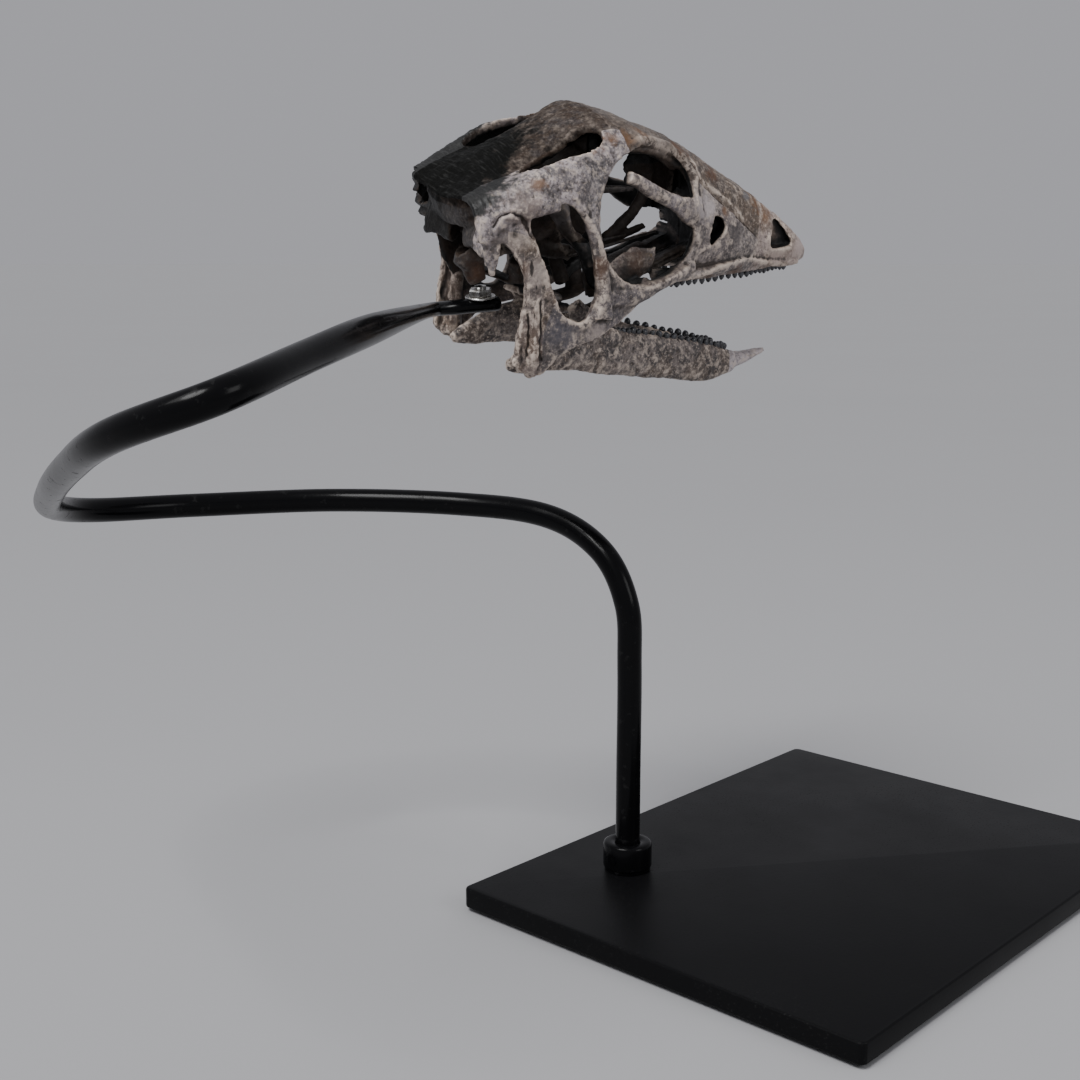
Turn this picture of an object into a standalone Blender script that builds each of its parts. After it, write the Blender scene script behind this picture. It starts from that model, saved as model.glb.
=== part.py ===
"""Skull of a small two-legged plant-eating dinosaur, held by a bent black rod on a black plate.

The skull is drawn in its own axes, in millimetres: +X to the snout, +Y to the animal's left, +Z up,
from the point midway between the two jaw joints. An empty then sets it in its pose over the plate.
The plate and the rod are drawn in the world's axes, also in millimetres.
"""

import math
import random

import bmesh
import bpy
import numpy as np
from mathutils import Euler, Matrix, Vector

MM = 0.001

# Pose of the skull over the plate
JAW_JOINTS_AT = Vector((-120.0, 90.0, 224.5))
TURN = Euler((math.radians(9.9), math.radians(-6.4), math.radians(-20.0)))
SKULL_TO_WORLD = Matrix.Translation(JAW_JOINTS_AT) @ TURN.to_matrix().to_4x4()

GAP = 0.3  # open line between two pieces that touch
SHELL = 2.8  # thickness of the bones of the roof and cheeks
GRAIN = 1.0  # size of the cells in which overlapping forms are fused
JAW_GRAIN = 0.9
CRANIUM_TRIANGLES, JAW_TRIANGLES = 6200, 1300
BRAIN_ROOM_FRONT = 98.0  # the skull is solid bone from here to the tip of the snout

# Half sections of the outer skull. Each has its place along X, then half width and height from the
# middle of the roof, over the shoulder and down the side to the edge of the mouth.
SECTIONS = (
    (-7, (0, 59), (12, 60.5), (23, 62), (29, 60), (32.5, 54), (34, 47), (34.5, 34), (34.5, 20)),
    (4, (0, 67.5), (11, 67), (21, 66), (29, 65.5), (34, 59), (35.5, 48), (36, 26), (35.5, 2)),
    (16, (0, 73.5), (10, 72.3), (17, 69.5), (28, 71.5), (34, 65), (36.5, 46), (37.5, 22), (36.5, -6)),
    (31, (0, 79), (9, 77.6), (15.5, 73.6), (28, 76), (33.5, 69.5), (36.5, 46), (38, 22), (37.5, 2)),
    (50, (0, 85.4), (10, 84.8), (19, 82), (26.5, 75.5), (30.5, 61), (32.5, 44), (33.5, 26), (32, 8)),
    (70, (0, 79.3), (9, 78), (16, 74.8), (20.5, 69.5), (25, 58), (27.5, 44), (28, 29), (25, 16)),
    (90, (0, 70.5), (7, 69), (12, 65.5), (16, 59), (19, 49), (21, 38), (20.5, 28), (17.5, 18)),
    (107, (0, 60), (5, 58), (9, 54.5), (12.5, 48), (16, 40), (17.3, 33), (16.8, 26), (14, 18)),
    (125, (0, 48.3), (4, 46.5), (7, 43.5), (9.2, 38.5), (10.8, 32.5), (11.4, 27.5), (11, 23), (9, 17)),
    (140, (0, 37.8), (3, 36.2), (5, 33.8), (6.6, 30.6), (7.8, 27), (8.2, 24), (7.7, 20), (6, 15.2)),
    (150, (0, 29), (2.2, 28.2), (3.8, 26.6), (4.8, 24.4), (5.3, 22), (5.3, 20.2), (4.9, 18), (3.7, 15.6)),
    (156.5, (0, 22.4), (0.9, 22), (1.6, 21.4), (2, 20.6), (2.2, 19.8), (2.2, 19), (2, 18), (1.5, 17)),
)
ROWS, COLUMNS = 56, 49
LEAN = 0.12  # how much the old bone's roof rises toward its left side
LEAN_FROM, LEAN_FULL, LEAN_FRONT, LEAN_ENDS = 50.0, 75.0, 42.0, 62.0  # its heights, then its places along X

# Outlines seen from the side, as X and Z
EYE = (
    (69, 71.5), (80, 67), (88.5, 57), (90, 44), (85.5, 31), (74, 24.5), (59, 23.5), (49, 28), (43.5, 40),
    (44, 53), (50, 65),
)
CHEEK = (
    (14, 58), (22, 59), (30, 56.5), (36, 47), (38.5, 33), (37, 21), (30, 14.8), (23.5, 18), (20, 27),
    (17, 36), (12.5, 46),
)
SNOUT_PIT = ((101.5, 42), (105.5, 40.5), (106.5, 36.5), (103, 33.5), (98.5, 31), (98, 34), (99.5, 38.5))
NOSTRIL = ((139.5, 34.5), (142, 32), (145.5, 26.5), (144, 24.8), (136, 25.2), (135.2, 27), (137, 31.5))
BEHIND_QUADRATE = (
    (-25, 45), (-3, 45.5), (1, 46), (5, 42), (8.3, 35), (9.3, 25), (7, 16), (5, 6), (3.2, -1), (3, -16),
    (-25, -16),
)
UNDER_CHEEK = (
    (-4, -4.5), (10, -4.5), (15, -3), (20, 1.5), (27, 5.5), (38, 7), (48, 9.5), (56, 13.5), (65, 18.5),
    (76, 21), (90, 20.5), (107, 19.5), (125, 18.2), (140, 16.6), (165, 16), (165, -16), (-4, -16),
)
# Outline seen from above, as X and Y, of the opening in the roof on the animal's left
ROOF_OPENING = (
    (14.5, 23), (20.5, 17.5), (31, 15.3), (42, 15), (48, 17), (50, 21), (45.5, 25.5), (33, 27), (20.5, 27),
)

# Bars and plates on the animal's left, each through points of X, Y, Z, half width, half thickness
LEFT_BARS = {
    "quadrate": (
        (2, 32, 50.5, 4, 5), (5.5, 32.5, 43, 4, 3.8), (11, 33.5, 30, 4, 3.3), (11.5, 34, 16, 4.2, 3.3),
        (9.5, 33.5, 4, 4.8, 4), (9.5, 32, -2.2, 4.6, 3.4),
    ),
    "squamosal_hood": (
        (24, 34, 59, 2.5, 4), (12, 34.5, 57.5, 3, 4.5), (3, 33, 54, 3.5, 4.5), (-1, 31, 46, 3, 3.5),
        (0, 30, 38, 1.6, 1.8), (1, 30, 34, 0.8, 0.8),
    ),
    "postorbital": (
        (52, 27.5, 69, 2, 3.5), (44, 32, 58, 2.4, 3.2), (41.5, 34, 44, 2.4, 2.6), (40.5, 35, 30, 2.6, 3),
        (40, 36, 14, 3, 5),
    ),
    "cheek_bar": (
        (44, 33.5, 21, 2.5, 4), (58, 30.5, 19, 2.4, 3), (74, 26, 22, 2, 2.2), (90, 20.5, 25, 1.6, 2),
    ),
    "eye_rim_top": (
        (46, 29, 62, 2, 2), (54, 26.5, 69, 2, 2), (69, 20.5, 71.5, 2, 2), (81, 17, 67.5, 2, 2),
        (90, 17, 57, 2, 2), (91, 19.5, 44, 2, 2), (87, 23, 31, 2, 2),
    ),
    "snout_edge": (
        (80, 23, 22.5, 1.6, 1.6), (107, 16, 21.5, 1.8, 1.8), (124, 10.3, 20.5, 1.6, 1.6),
        (141, 6.4, 17.4, 1.4, 1.4), (151, 4.2, 17, 1.2, 1.2),
    ),
    "tooth_shelf": (
        (73, 17.5, 22, 2.4, 3), (90, 15, 21, 2.6, 3), (106, 12.3, 20.3, 2.6, 3), (122, 9, 19.6, 2.4, 3),
        (134, 6.3, 19, 2, 2.5), (145, 4.2, 18.4, 1.6, 2),
    ),
    "palpebral": (
        (93, 18, 44, 2.5, 5), (86, 20.5, 45, 2.5, 4.5), (78, 22.5, 47.5, 2.4, 2.6),
        (69, 24.5, 51.5, 2.4, 2.2), (60, 27.5, 58, 2.4, 2.6), (54, 29, 62.5, 2.4, 2.8),
    ),
    "paroccipital": ((3, 6, 46, 3, 7), (0, 18, 47, 2.4, 6), (-1, 29, 44, 2.2, 6), (-2, 32, 38, 1.6, 3)),
    "quadrate_wing": ((11, 31, 27, 9, 1.4), (20, 24, 25, 9, 1.2), (30, 13, 19, 6, 1.6)),
    "pterygoid": (
        (27, 5, 24, 3, 3), (32, 12, 15, 4, 2), (50, 11, 17, 4.5, 1.3), (74, 10, 24, 4.5, 1.2),
        (98, 8, 31, 4, 1.4),
    ),
    "ectopterygoid": ((50, 10, 17, 4, 1.6), (57, 20, 21, 4.5, 1.6), (63, 28, 22, 4, 2)),
    "palate_flange": ((46, 23, 24, 1.2, 3), (56, 22, 27, 1.2, 6), (66, 21, 31, 1.2, 6), (71, 21, 36, 1, 2)),
    "side_rod": (
        (30, 12, 58, 3, 4), (38, 16, 53, 3.2, 4), (42, 16.5, 43, 2.2, 2.2), (47, 16, 31, 2.6, 3),
        (50, 12, 18, 2.5, 3),
    ),
}
# Bars on the middle line, in the same form
MIDDLE_BARS = {
    "brain_case": (
        (3, 0, 47, 14, 14), (12, 0, 50, 14, 19), (26, 0, 52, 13, 23), (37, 0, 57, 10, 21), (45, 0, 72, 7, 10),
    ),
    "brain_floor": (
        (-1.5, 0, 29.5, 4, 4), (4, 0, 30, 6, 5), (18, 0, 29, 7, 6), (30, 0, 28, 5, 5), (48, 0, 30, 2, 2.6),
        (64, 0, 34, 1.6, 2), (80, 0, 38, 1.4, 1.6),
    ),
    "septum": (
        (62, 0, 34, 1.6, 3), (70, 0, 40, 1.5, 2.4), (77, 0, 47, 1.5, 2.4), (82, 0, 58, 1.6, 3),
        (80, 0, 73, 2, 4.5),
    ),
}
OCCIPUT = (
    (2, -24, 55, 2.6, 6), (-1, -12, 55, 2.6, 7), (-1.5, 0, 55, 2.8, 8), (-1, 12, 55, 2.6, 7),
    (2, 24, 55, 2.6, 6),
)
CORD_HOLE_Z, CORD_HOLE_RADIUS, CORD_HOLE_DEPTH = 40.0, 4.4, 14.0

# Left branch of the lower jaw, in the same form
JAW_BARS = {
    "jaw_branch": (
        (7, 23.5, -1.5, 2, 2), (12, 24, -1.2, 2.8, 4), (25, 24, 0.8, 3, 7), (38, 22.5, 1, 3, 9),
        (50, 19.5, -3, 3.2, 9),
        (66, 15, -8, 3.6, 8.6), (82, 11.5, -12.4, 3.4, 8.4), (98, 8.6, -16.8, 3, 8), (110, 6, -19.8, 2.6, 7),
        (121, 3.6, -21, 2.2, 4.4),
    ),
    "coronoid": ((44, 21.5, 5, 1.8, 6), (39, 23, 12, 1.7, 5), (35, 24, 18, 1.4, 3)),
}
BEAK_BAR = (
    (110, 0, -22.5, 6.5, 3.5), (120, 0, -22, 5.5, 3.4), (130, 0, -21, 3.6, 2.2), (139.5, 0, -19.6, 0.9, 0.9),
)

# Rows of teeth on the animal's left, through X, Y and the height where the crowns start
UPPER_ROW = (
    (77, 17, 19), (90, 15, 18.3), (106, 12.3, 17.6), (122, 9, 17), (134, 6.3, 16.8), (144, 4.4, 16.7),
)
LOWER_ROW = (
    (58, 17.3, 2.4), (68, 14.5, 0), (82, 11.5, -4.1), (96, 9, -8.4), (108, 6.6, -12.2), (115, 5, -14.6),
)
UPPER_TEETH, LOWER_TEETH = 16, 15
TOOTH_HEIGHT, TOOTH_WIDTH, TOOTH_THICKNESS, ROOT_DEPTH, TOOTH_SIDES = 4.6, 3.2, 2.2, 2.0, 5
# Rings of a crown: how far up it each is, as a part of its height, and how wide and thick it is there
CROWN = ((0.35, 1.0, 1.0), (1.0, 0.3, 0.3))

# Bones parted from the whole by cuts, seen from the side, as X and Z
PALPEBRAL_CELL = ((52, 56), (52, 67), (62, 66.5), (76, 58.5), (86.5, 53.5), (86.5, 38), (80, 39), (66, 46))
BRAIN_CASE_CELL = (
    (-20, 18), (36, 18), (36, 38), (52, 44), (52, 75), (31, 68), (14, 62.5), (2, 57), (-20, 49),
)
PALATE_CELL = ((36.3, 0), (90, 0), (92, 62), (36.3, 62))
QUADRATE_CELL = (
    (-6, -16), (15, -16), (14.5, 12), (22, 27), (22, 45), (13, 47.5), (3.4, 49.5), (3.4, 36), (-6, 20),
)
JUGAL_CELL = (
    (14, -16), (14, 12), (22, 27), (34, 40), (46, 38), (70, 34), (87.5, 34), (74, 19), (70, 2), (40, -16),
)
POSTORBITAL_CELL = ((-20, 20), (60, 20), (60, 64), (53, 95), (-20, 95))
MAXILLA_CELL = ((60, 0), (117, 0), (126, 30), (93, 56.5), (80, 56.5), (80, 30), (66, 19))
PREMAXILLA_CELL = ((116, 0), (126, 30), (134, 60), (175, 60), (175, 0))
NASAL_CELL = ((93, 56.5), (126, 30), (134, 60), (120, 95), (89, 95))
FRONTAL_CELL = ((53, 95), (90, 95), (95, 56), (95, 46), (53, 46))
ANGULAR_CELL = ((-20, -40), (42, -40), (47, -4), (40, 40), (-20, 40))
DENTARY_CELL = ((30, -40), (116, -40), (119, 0), (60, 40), (30, 40))
# How far from the middle line the cuts reach
SIDE, OUTSIDE_PALATE, OUTSIDE_ROOF = (0.15, 60.0), (15.0, 60.0), (20.3, 60.0)
ROOF, PALATE, ACROSS = (-20.0, 20.0), (-14.7, 14.7), (-60.0, 60.0)

# Stand
PLATE_SIZE, PLATE_BEVEL = (240.0, 184.0, 10.0), 1.2
ROD_RADIUS, ROD_SIDES, ROD_SAMPLES = 5.0, 10, 50
SOCKET_RADIUS, SOCKET_HEIGHT = 10.0, 12.0
ROD_FOOT = (-60.0, 56.0)
# The rod's flattened end under the brain case, in the skull's axes, then its route in the world's
ROD_FLAT = 2.8
ROD_START = ((15, -3.5, 16.6), (0, 0, 16.4), (-14, 1, 16.4))
ROD_ROUTE = (
    (-198, 52, 236), (-240, 30, 231), (-284, 14, 223), (-298, 45, 211), (-280, 98, 196), (-252, 160, 178.5),
    (-226, 206, 165), (-196, 226, 157.5), (-152, 219, 155), (-104, 187, 155), (-74, 140, 155),
    (-62, 100, 153), (-60, 72, 142), (-60, 58, 122), (*ROD_FOOT, 96), (*ROD_FOOT, 50), (*ROD_FOOT, 10.3),
)
ROD_LENGTHS = (
    "stand_rod_tip", "stand_rod_arm", "stand_rod_turn", "stand_rod_drop", "stand_rod_bend",
    "stand_rod_return", "stand_rod_elbow", "stand_rod_post",
)
ROD_ENDS = (0, 7, 13, 19, 25, 30, 36, 43, 49)  # samples where one length ends and the next starts
PIN_AT = Vector((8.0, -1.5, 0))  # in the skull's axes
PIN_RADIUS, PIN_FOOT, PIN_TOP = 2.2, 19.7, 23.6
NUT_RADIUS, NUT_FOOT, NUT_TOP = 4.6, 19.8, 22.6

BROWN, GREY, DARK = (0.20, 0.15, 0.105), (0.27, 0.25, 0.24), (0.10, 0.09, 0.08)
BLACK, STEEL = (0.012, 0.012, 0.013), (0.55, 0.54, 0.52)


def finish(name, colour, roughness, metallic=0.0):
    """A plain finish in one colour."""
    material = bpy.data.materials.new(name)
    material.use_nodes = True
    shader = material.node_tree.nodes["Principled BSDF"]
    shader.inputs["Base Color"].default_value = (*colour, 1)
    shader.inputs["Roughness"].default_value = roughness
    shader.inputs["Metallic"].default_value = metallic
    return material


def smooth_line(points, samples, closed=False):
    """Rows of numbers along a Catmull-Rom curve through the given ones."""
    p = np.array(points, float)
    spans = len(p) if closed else len(p) - 1
    p = np.vstack([p[-1], p, p[0], p[1]]) if closed else np.vstack([2 * p[0] - p[1], p, 2 * p[-1] - p[-2]])
    made = []
    for k in range(samples):
        reach = spans * k / (samples if closed else samples - 1)
        i = min(int(reach), spans - 1)
        t = reach - i
        a, b, c, d = p[i : i + 4]
        made.append(b + 0.5 * t * (c - a + t * (2 * a - 5 * b + 4 * c - d + t * (3 * b - a - 3 * c + d))))
    return np.array(made)


def outer_skull():
    """Grid of points on the outer skull, from its back to its tip and from its right edge to its left one."""
    along = smooth_line([[x] + [v for pair in half for v in pair] for x, *half in SECTIONS], ROWS)
    grid = np.empty((ROWS, COLUMNS, 3))
    for line, row in zip(grid, along):
        half = row[1:].reshape(-1, 2)
        line[:, 0] = row[0]
        line[:, 1:] = smooth_line(np.vstack([half[:0:-1] * (-1, 1), half]), COLUMNS)
    return grid


def inner_skull(grid):
    """The room inside the skull: the outer skull drawn in by the shell, open behind and below."""
    out = np.cross(np.gradient(grid, axis=1), np.gradient(grid, axis=0))
    out /= np.linalg.norm(out, axis=2, keepdims=True)
    out *= np.sign(out[:, COLUMNS // 2, 2])[:, None, None]
    inner = (grid - out * SHELL)[grid[:, 0, 0] < BRAIN_ROOM_FRONT]
    inner[0, :, 0] = -20
    below = inner[:, [0, -1]] * (1, 1, 0) + (0, 0, -20)
    return np.concatenate([below[:, :1], inner, below[:, 1:]], axis=1)


def tube_of(rings, closed=False):
    """A closed solid through rings of points, capped at both ends unless it closes on itself."""
    bm = bmesh.new()
    loops = [[bm.verts.new(p) for p in ring] for ring in rings]
    count = len(loops[0])
    pairs = list(zip(loops, loops[1:])) + ([(loops[-1], loops[0])] if closed else [])
    for a, b in pairs:
        for k in range(count):
            bm.faces.new((a[k], a[(k + 1) % count], b[(k + 1) % count], b[k]))
    if not closed:
        bm.faces.new(loops[0])
        bm.faces.new(loops[-1][::-1])
    bmesh.ops.recalc_face_normals(bm, faces=bm.faces)
    return bm


def rings_along(line, sides, wide_axis=(0, 1, 0)):
    """Oval rings along rows of X, Y, Z, half width, half thickness. The width starts along wide_axis."""
    across = Vector(wide_axis)
    rings = []
    for (x, y, z, wide, thick), run in zip(line, np.gradient(line[:, :3], axis=0)):
        run = Vector(run).normalized()
        across = (across - run * across.dot(run)).normalized()
        up = run.cross(across)
        middle, turns = Vector((x, y, z)), [2 * math.pi * s / sides for s in range(sides)]
        rings.append([middle + across * wide * math.cos(a) + up * thick * math.sin(a) for a in turns])
    return rings


def limb(points, wide_axis=(0, 1, 0)):
    """A rounded bar or plate through a few points."""
    return tube_of(rings_along(smooth_line(points, 14), 12, wide_axis))


def prism(outline, low, high):
    """A solid with an outline seen from the side, between two places across the skull."""
    return tube_of([[(a, depth, b) for a, b in outline] for depth in (low, high)])


def mirrored(bm):
    """A copy on the animal's other side."""
    other = bm.copy()
    bmesh.ops.scale(other, vec=(1, -1, 1), verts=other.verts)
    bmesh.ops.reverse_faces(other, faces=other.faces)
    return other


def both_sides(bm):
    """The solid and its mirror image."""
    return [bm, mirrored(bm)]


def gather(solids):
    """One bmesh that holds several, which are used up."""
    whole = bmesh.new()
    for bm in solids:
        spare = bpy.data.meshes.new("spare")
        bm.to_mesh(spare)
        bm.free()
        whole.from_mesh(spare)
        bpy.data.meshes.remove(spare)
    return whole


def place(name, bm, material=None):
    """A scene object from a solid drawn in millimetres."""
    bmesh.ops.scale(bm, vec=(MM, MM, MM), verts=bm.verts)
    mesh = bpy.data.meshes.new(name)
    bm.to_mesh(mesh)
    bm.free()
    thing = bpy.data.objects.new(name, mesh)
    bpy.context.scene.collection.objects.link(thing)
    if material:
        mesh.materials.append(material)
    return thing


def settle(thing):
    """Makes the evaluated mesh the object's own, with no modifiers left."""
    graph = bpy.context.evaluated_depsgraph_get()
    mesh = bpy.data.meshes.new_from_object(thing.evaluated_get(graph))
    thing.modifiers.clear()
    old = thing.data
    thing.data = mesh
    bpy.data.meshes.remove(old)


def boolean(thing, bm, operation):
    """Cuts a solid from the object, joins it on, or keeps what both hold."""
    other = place("cutter", bm)
    change = thing.modifiers.new("change", "BOOLEAN")
    change.object = other
    change.operation = operation
    settle(thing)
    bpy.data.objects.remove(other)


def surfaces(bm):
    """Lists of vertices, one for each separate surface."""
    left, found = set(bm.verts), []
    while left:
        part = [left.pop()]
        for vert in part:
            near = {other for edge in vert.link_edges for other in edge.verts} & left
            left -= near
            part.extend(near)
        found.append(part)
    return found


def keep_largest(thing):
    """Drops every closed surface but the largest one."""
    bm = bmesh.new()
    bm.from_mesh(thing.data)
    bmesh.ops.dissolve_degenerate(bm, dist=0.00002, edges=bm.edges)
    for part in sorted(surfaces(bm), key=len)[:-1]:
        bmesh.ops.delete(bm, geom=part, context="VERTS")
    bmesh.ops.triangulate(bm, faces=bm.faces)
    bm.to_mesh(thing.data)
    bm.free()


def fuse(thing, grain, triangles):
    """Blends overlapping forms into one rounded body of about so many triangles."""
    blend = thing.modifiers.new("blend", "REMESH")
    blend.mode = "VOXEL"
    blend.voxel_size = grain * MM
    soften = thing.modifiers.new("soften", "SMOOTH")
    soften.iterations = 3
    settle(thing)
    now = sum(len(face.vertices) - 2 for face in thing.data.polygons)
    thin = thing.modifiers.new("thin", "DECIMATE")
    thin.ratio = triangles / now
    settle(thing)
    keep_largest(thing)


def grown(outline, by):
    """An outline with straight sides, drawn outwards."""
    p = [Vector(q) for q in outline]
    area = sum(a.x * b.y - b.x * a.y for a, b in zip(p, p[1:] + p[:1]))
    turn = 1 if area > 0 else -1
    made = []
    for before, here, after in zip(p[-1:] + p[:-1], p, p[1:] + p[:1]):
        a, b = (here - before).normalized(), (after - here).normalized()
        out_a, out_b = Vector((a.y, -a.x)) * turn, Vector((b.y, -b.x)) * turn
        out = (out_a + out_b).normalized()
        made.append(here + out * by / max(0.3, out.dot(out_a)))
    return made


def carve(whole, name, cell, across, material, side=1):
    """Parts off the bone inside a cell and leaves the gap round it open."""
    low, high = sorted(side * y for y in across)
    bone = bpy.data.objects.new(name, whole.data.copy())
    bpy.context.scene.collection.objects.link(bone)
    boolean(bone, prism(cell, low, high), "INTERSECT")
    boolean(whole, prism(grown(cell, GAP), low - GAP, high + GAP), "DIFFERENCE")
    keep_largest(bone)
    bone.data.materials.clear()
    bone.data.materials.append(material)
    return bone


def shell_with_openings():
    """The outer bones as one shell, with the openings for eyes, cheeks, nose and roof."""
    grid = outer_skull()
    shell = place("shell", tube_of(grid))
    boolean(shell, tube_of(inner_skull(grid)), "DIFFERENCE")
    for outline, inner in ((EYE, 14), (CHEEK, 20), (SNOUT_PIT, 10), (NOSTRIL, 2.5), (BEHIND_QUADRATE, 24)):
        for bm in both_sides(prism(smooth_line(outline, 36, closed=True), inner, 60)):
            boolean(shell, bm, "DIFFERENCE")
    boolean(shell, prism(UNDER_CHEEK, -60, 60), "DIFFERENCE")
    seen_from_above = smooth_line(ROOF_OPENING, 36, closed=True)
    for bm in both_sides(tube_of([[(x, y, z) for x, y in seen_from_above] for z in (60, 100)])):
        boolean(shell, bm, "DIFFERENCE")
    bm = bmesh.new()
    bm.from_mesh(shell.data)
    bmesh.ops.scale(bm, vec=(1 / MM, 1 / MM, 1 / MM), verts=bm.verts)
    bpy.data.objects.remove(shell)
    return bm


def lean(thing):
    """Tips the roof to one side, as the old bone has been pressed."""
    for vert in thing.data.vertices:
        x, y, z = vert.co / MM
        high = min(1, max(0, (z - LEAN_FROM) / (LEAN_FULL - LEAN_FROM)))
        back = min(1, max(0, (LEAN_ENDS - x) / (LEAN_ENDS - LEAN_FRONT)))
        vert.co.z += LEAN * y * high * back * MM


def cranium(brown):
    """The upper skull as one body, with its rims, brain case and palate."""
    forms = [shell_with_openings(), limb(OCCIPUT, wide_axis=(1, 0, 0))]
    forms += [limb(points) for points in MIDDLE_BARS.values()]
    for points in LEFT_BARS.values():
        forms += both_sides(limb(points))
    whole = place("parietal", gather(forms), brown)
    fuse(whole, GRAIN, CRANIUM_TRIANGLES)
    lean(whole)
    hole = bmesh.new()
    along = Matrix.Translation((-8, 0, CORD_HOLE_Z)) @ Matrix.Rotation(math.pi / 2, 4, "Y")
    bmesh.ops.create_cone(
        hole, cap_ends=True, segments=14, radius1=CORD_HOLE_RADIUS, radius2=CORD_HOLE_RADIUS,
        depth=2 * CORD_HOLE_DEPTH, matrix=along,
    )
    boolean(whole, hole, "DIFFERENCE")
    return whole


def tooth(x, y, z, heading, height, crown):
    """A leaf-shaped crown on its root. Crown is 1 for one that points up and -1 for down."""
    rings = []
    for rise, wide, thick in ((-ROOT_DEPTH / height, 0.6, 0.8),) + CROWN:
        ring = []
        for s in range(TOOTH_SIDES):
            a = 2 * math.pi * s / TOOTH_SIDES
            along = math.cos(a) * wide * TOOTH_WIDTH / 2
            out = math.sin(a) * thick * TOOTH_THICKNESS / 2
            ring.append((
                x + along * math.cos(heading) - out * math.sin(heading),
                y + along * math.sin(heading) + out * math.cos(heading),
                z + crown * rise * height,
            ))
        rings.append(ring)
    return tube_of(rings)


def tooth_row(row, count, crown, side):
    """The teeth of one row, each with its place along the skull."""
    chance = random.Random(7)
    line = smooth_line(row, count)
    line[:, 1] *= side
    teeth = []
    for (x, y, z), run in zip(line, np.gradient(line, axis=0)):
        height = TOOTH_HEIGHT * chance.uniform(0.8, 1.1)
        teeth.append((x, tooth(x, y, z, math.atan2(run[1], run[0]), height, crown)))
    return teeth


def root(bones, teeth):
    """Joins each tooth to the bone, of those given with their reach along X, that it grows from."""
    for x, bm in teeth:
        for bone, low, high in bones:
            if low < x < high:
                boolean(bone, bm.copy(), "UNION")
        bm.free()


def part_cranium(brown, grey, dark):
    """The upper skull cut into its bones. What is left at the end is the parietal roof."""
    whole = cranium(brown)
    sides = ((-1, "right"), (1, "left"))
    for side, word in sides:
        carve(whole, f"palpebral_{word}", PALPEBRAL_CELL, OUTSIDE_PALATE, grey, side)
    carve(whole, "brain_case", BRAIN_CASE_CELL, ROOF, dark)
    carve(whole, "palate", PALATE_CELL, PALATE, dark)
    premaxilla = carve(whole, "premaxilla", PREMAXILLA_CELL, ACROSS, grey)
    for side, word in sides:
        carve(whole, f"quadrate_{word}", QUADRATE_CELL, OUTSIDE_ROOF, brown, side)
        carve(whole, f"jugal_{word}", JUGAL_CELL, OUTSIDE_PALATE, grey, side)
        carve(whole, f"postorbital_{word}", POSTORBITAL_CELL, OUTSIDE_ROOF, grey, side)
        maxilla = carve(whole, f"maxilla_{word}", MAXILLA_CELL, SIDE, grey, side)
        root(((maxilla, 70, 119.5), (premaxilla, 124, 150)), tooth_row(UPPER_ROW, UPPER_TEETH, -1, side))
    carve(whole, "nasal", NASAL_CELL, ACROSS, brown)
    carve(whole, "frontal", FRONTAL_CELL, ACROSS, brown)
    keep_largest(whole)


def lower_jaw(brown):
    """The lower jaw as one body, parted into beak, tooth bones and joint ends, with its teeth."""
    forms = [limb(BEAK_BAR)]
    for points in JAW_BARS.values():
        forms += both_sides(limb(points))
    whole = place("predentary", gather(forms), brown)
    fuse(whole, JAW_GRAIN, JAW_TRIANGLES)
    for side, word in ((-1, "right"), (1, "left")):
        carve(whole, f"angular_{word}", ANGULAR_CELL, SIDE, brown, side)
        dentary = carve(whole, f"dentary_{word}", DENTARY_CELL, SIDE, brown, side)
        root(((dentary, 50, 116),), tooth_row(LOWER_ROW, LOWER_TEETH, 1, side))
    keep_largest(whole)


def ring_round(profile, centre, sides):
    """A turned solid from a closed profile of radius and height, about an upright line."""
    rings = []
    for s in range(sides):
        a = 2 * math.pi * s / sides
        rings.append([(centre[0] + r * math.cos(a), centre[1] + r * math.sin(a), z) for r, z in profile])
    return tube_of(rings, closed=True)


def box_profile(inner, outer, low, high):
    """Corners of a ring's section."""
    return ((inner, low), (outer, low), (outer, high), (inner, high))


def stand(black):
    """Black plate, the bent rod in its lengths, and the socket at its foot."""
    plate = bmesh.new()
    bmesh.ops.create_cube(plate, size=1, matrix=Matrix.Diagonal((*PLATE_SIZE, 1)))
    bmesh.ops.translate(plate, vec=(0, 0, PLATE_SIZE[2] / 2), verts=plate.verts)
    bmesh.ops.bevel(
        plate, geom=plate.edges, offset=PLATE_BEVEL, segments=2, profile=0.5, affect="EDGES", material=-1,
    )
    place("stand_base", plate, black)
    start = [(*(SKULL_TO_WORLD @ Vector(p)), ROD_RADIUS, ROD_FLAT) for p in ROD_START]
    line = smooth_line(start + [(*p, ROD_RADIUS, ROD_RADIUS) for p in ROD_ROUTE], ROD_SAMPLES)
    rings = rings_along(line, ROD_SIDES)
    runs = np.gradient(line[:, :3], axis=0)
    for name, first, last in zip(ROD_LENGTHS, ROD_ENDS, ROD_ENDS[1:]):
        length = [list(ring) for ring in rings[first : last + 1]]
        for ring, k, way in ((length[0], first, 1), (length[-1], last, -1)):
            pull = Vector(runs[k]).normalized() * way * GAP / 2
            ring[:] = [p + pull for p in ring]
        place(name, tube_of(length), black)
    socket = box_profile(ROD_RADIUS + GAP, SOCKET_RADIUS, PLATE_SIZE[2] + GAP, PLATE_SIZE[2] + SOCKET_HEIGHT)
    place("stand_socket", ring_round(socket, ROD_FOOT, 24), black)


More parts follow.
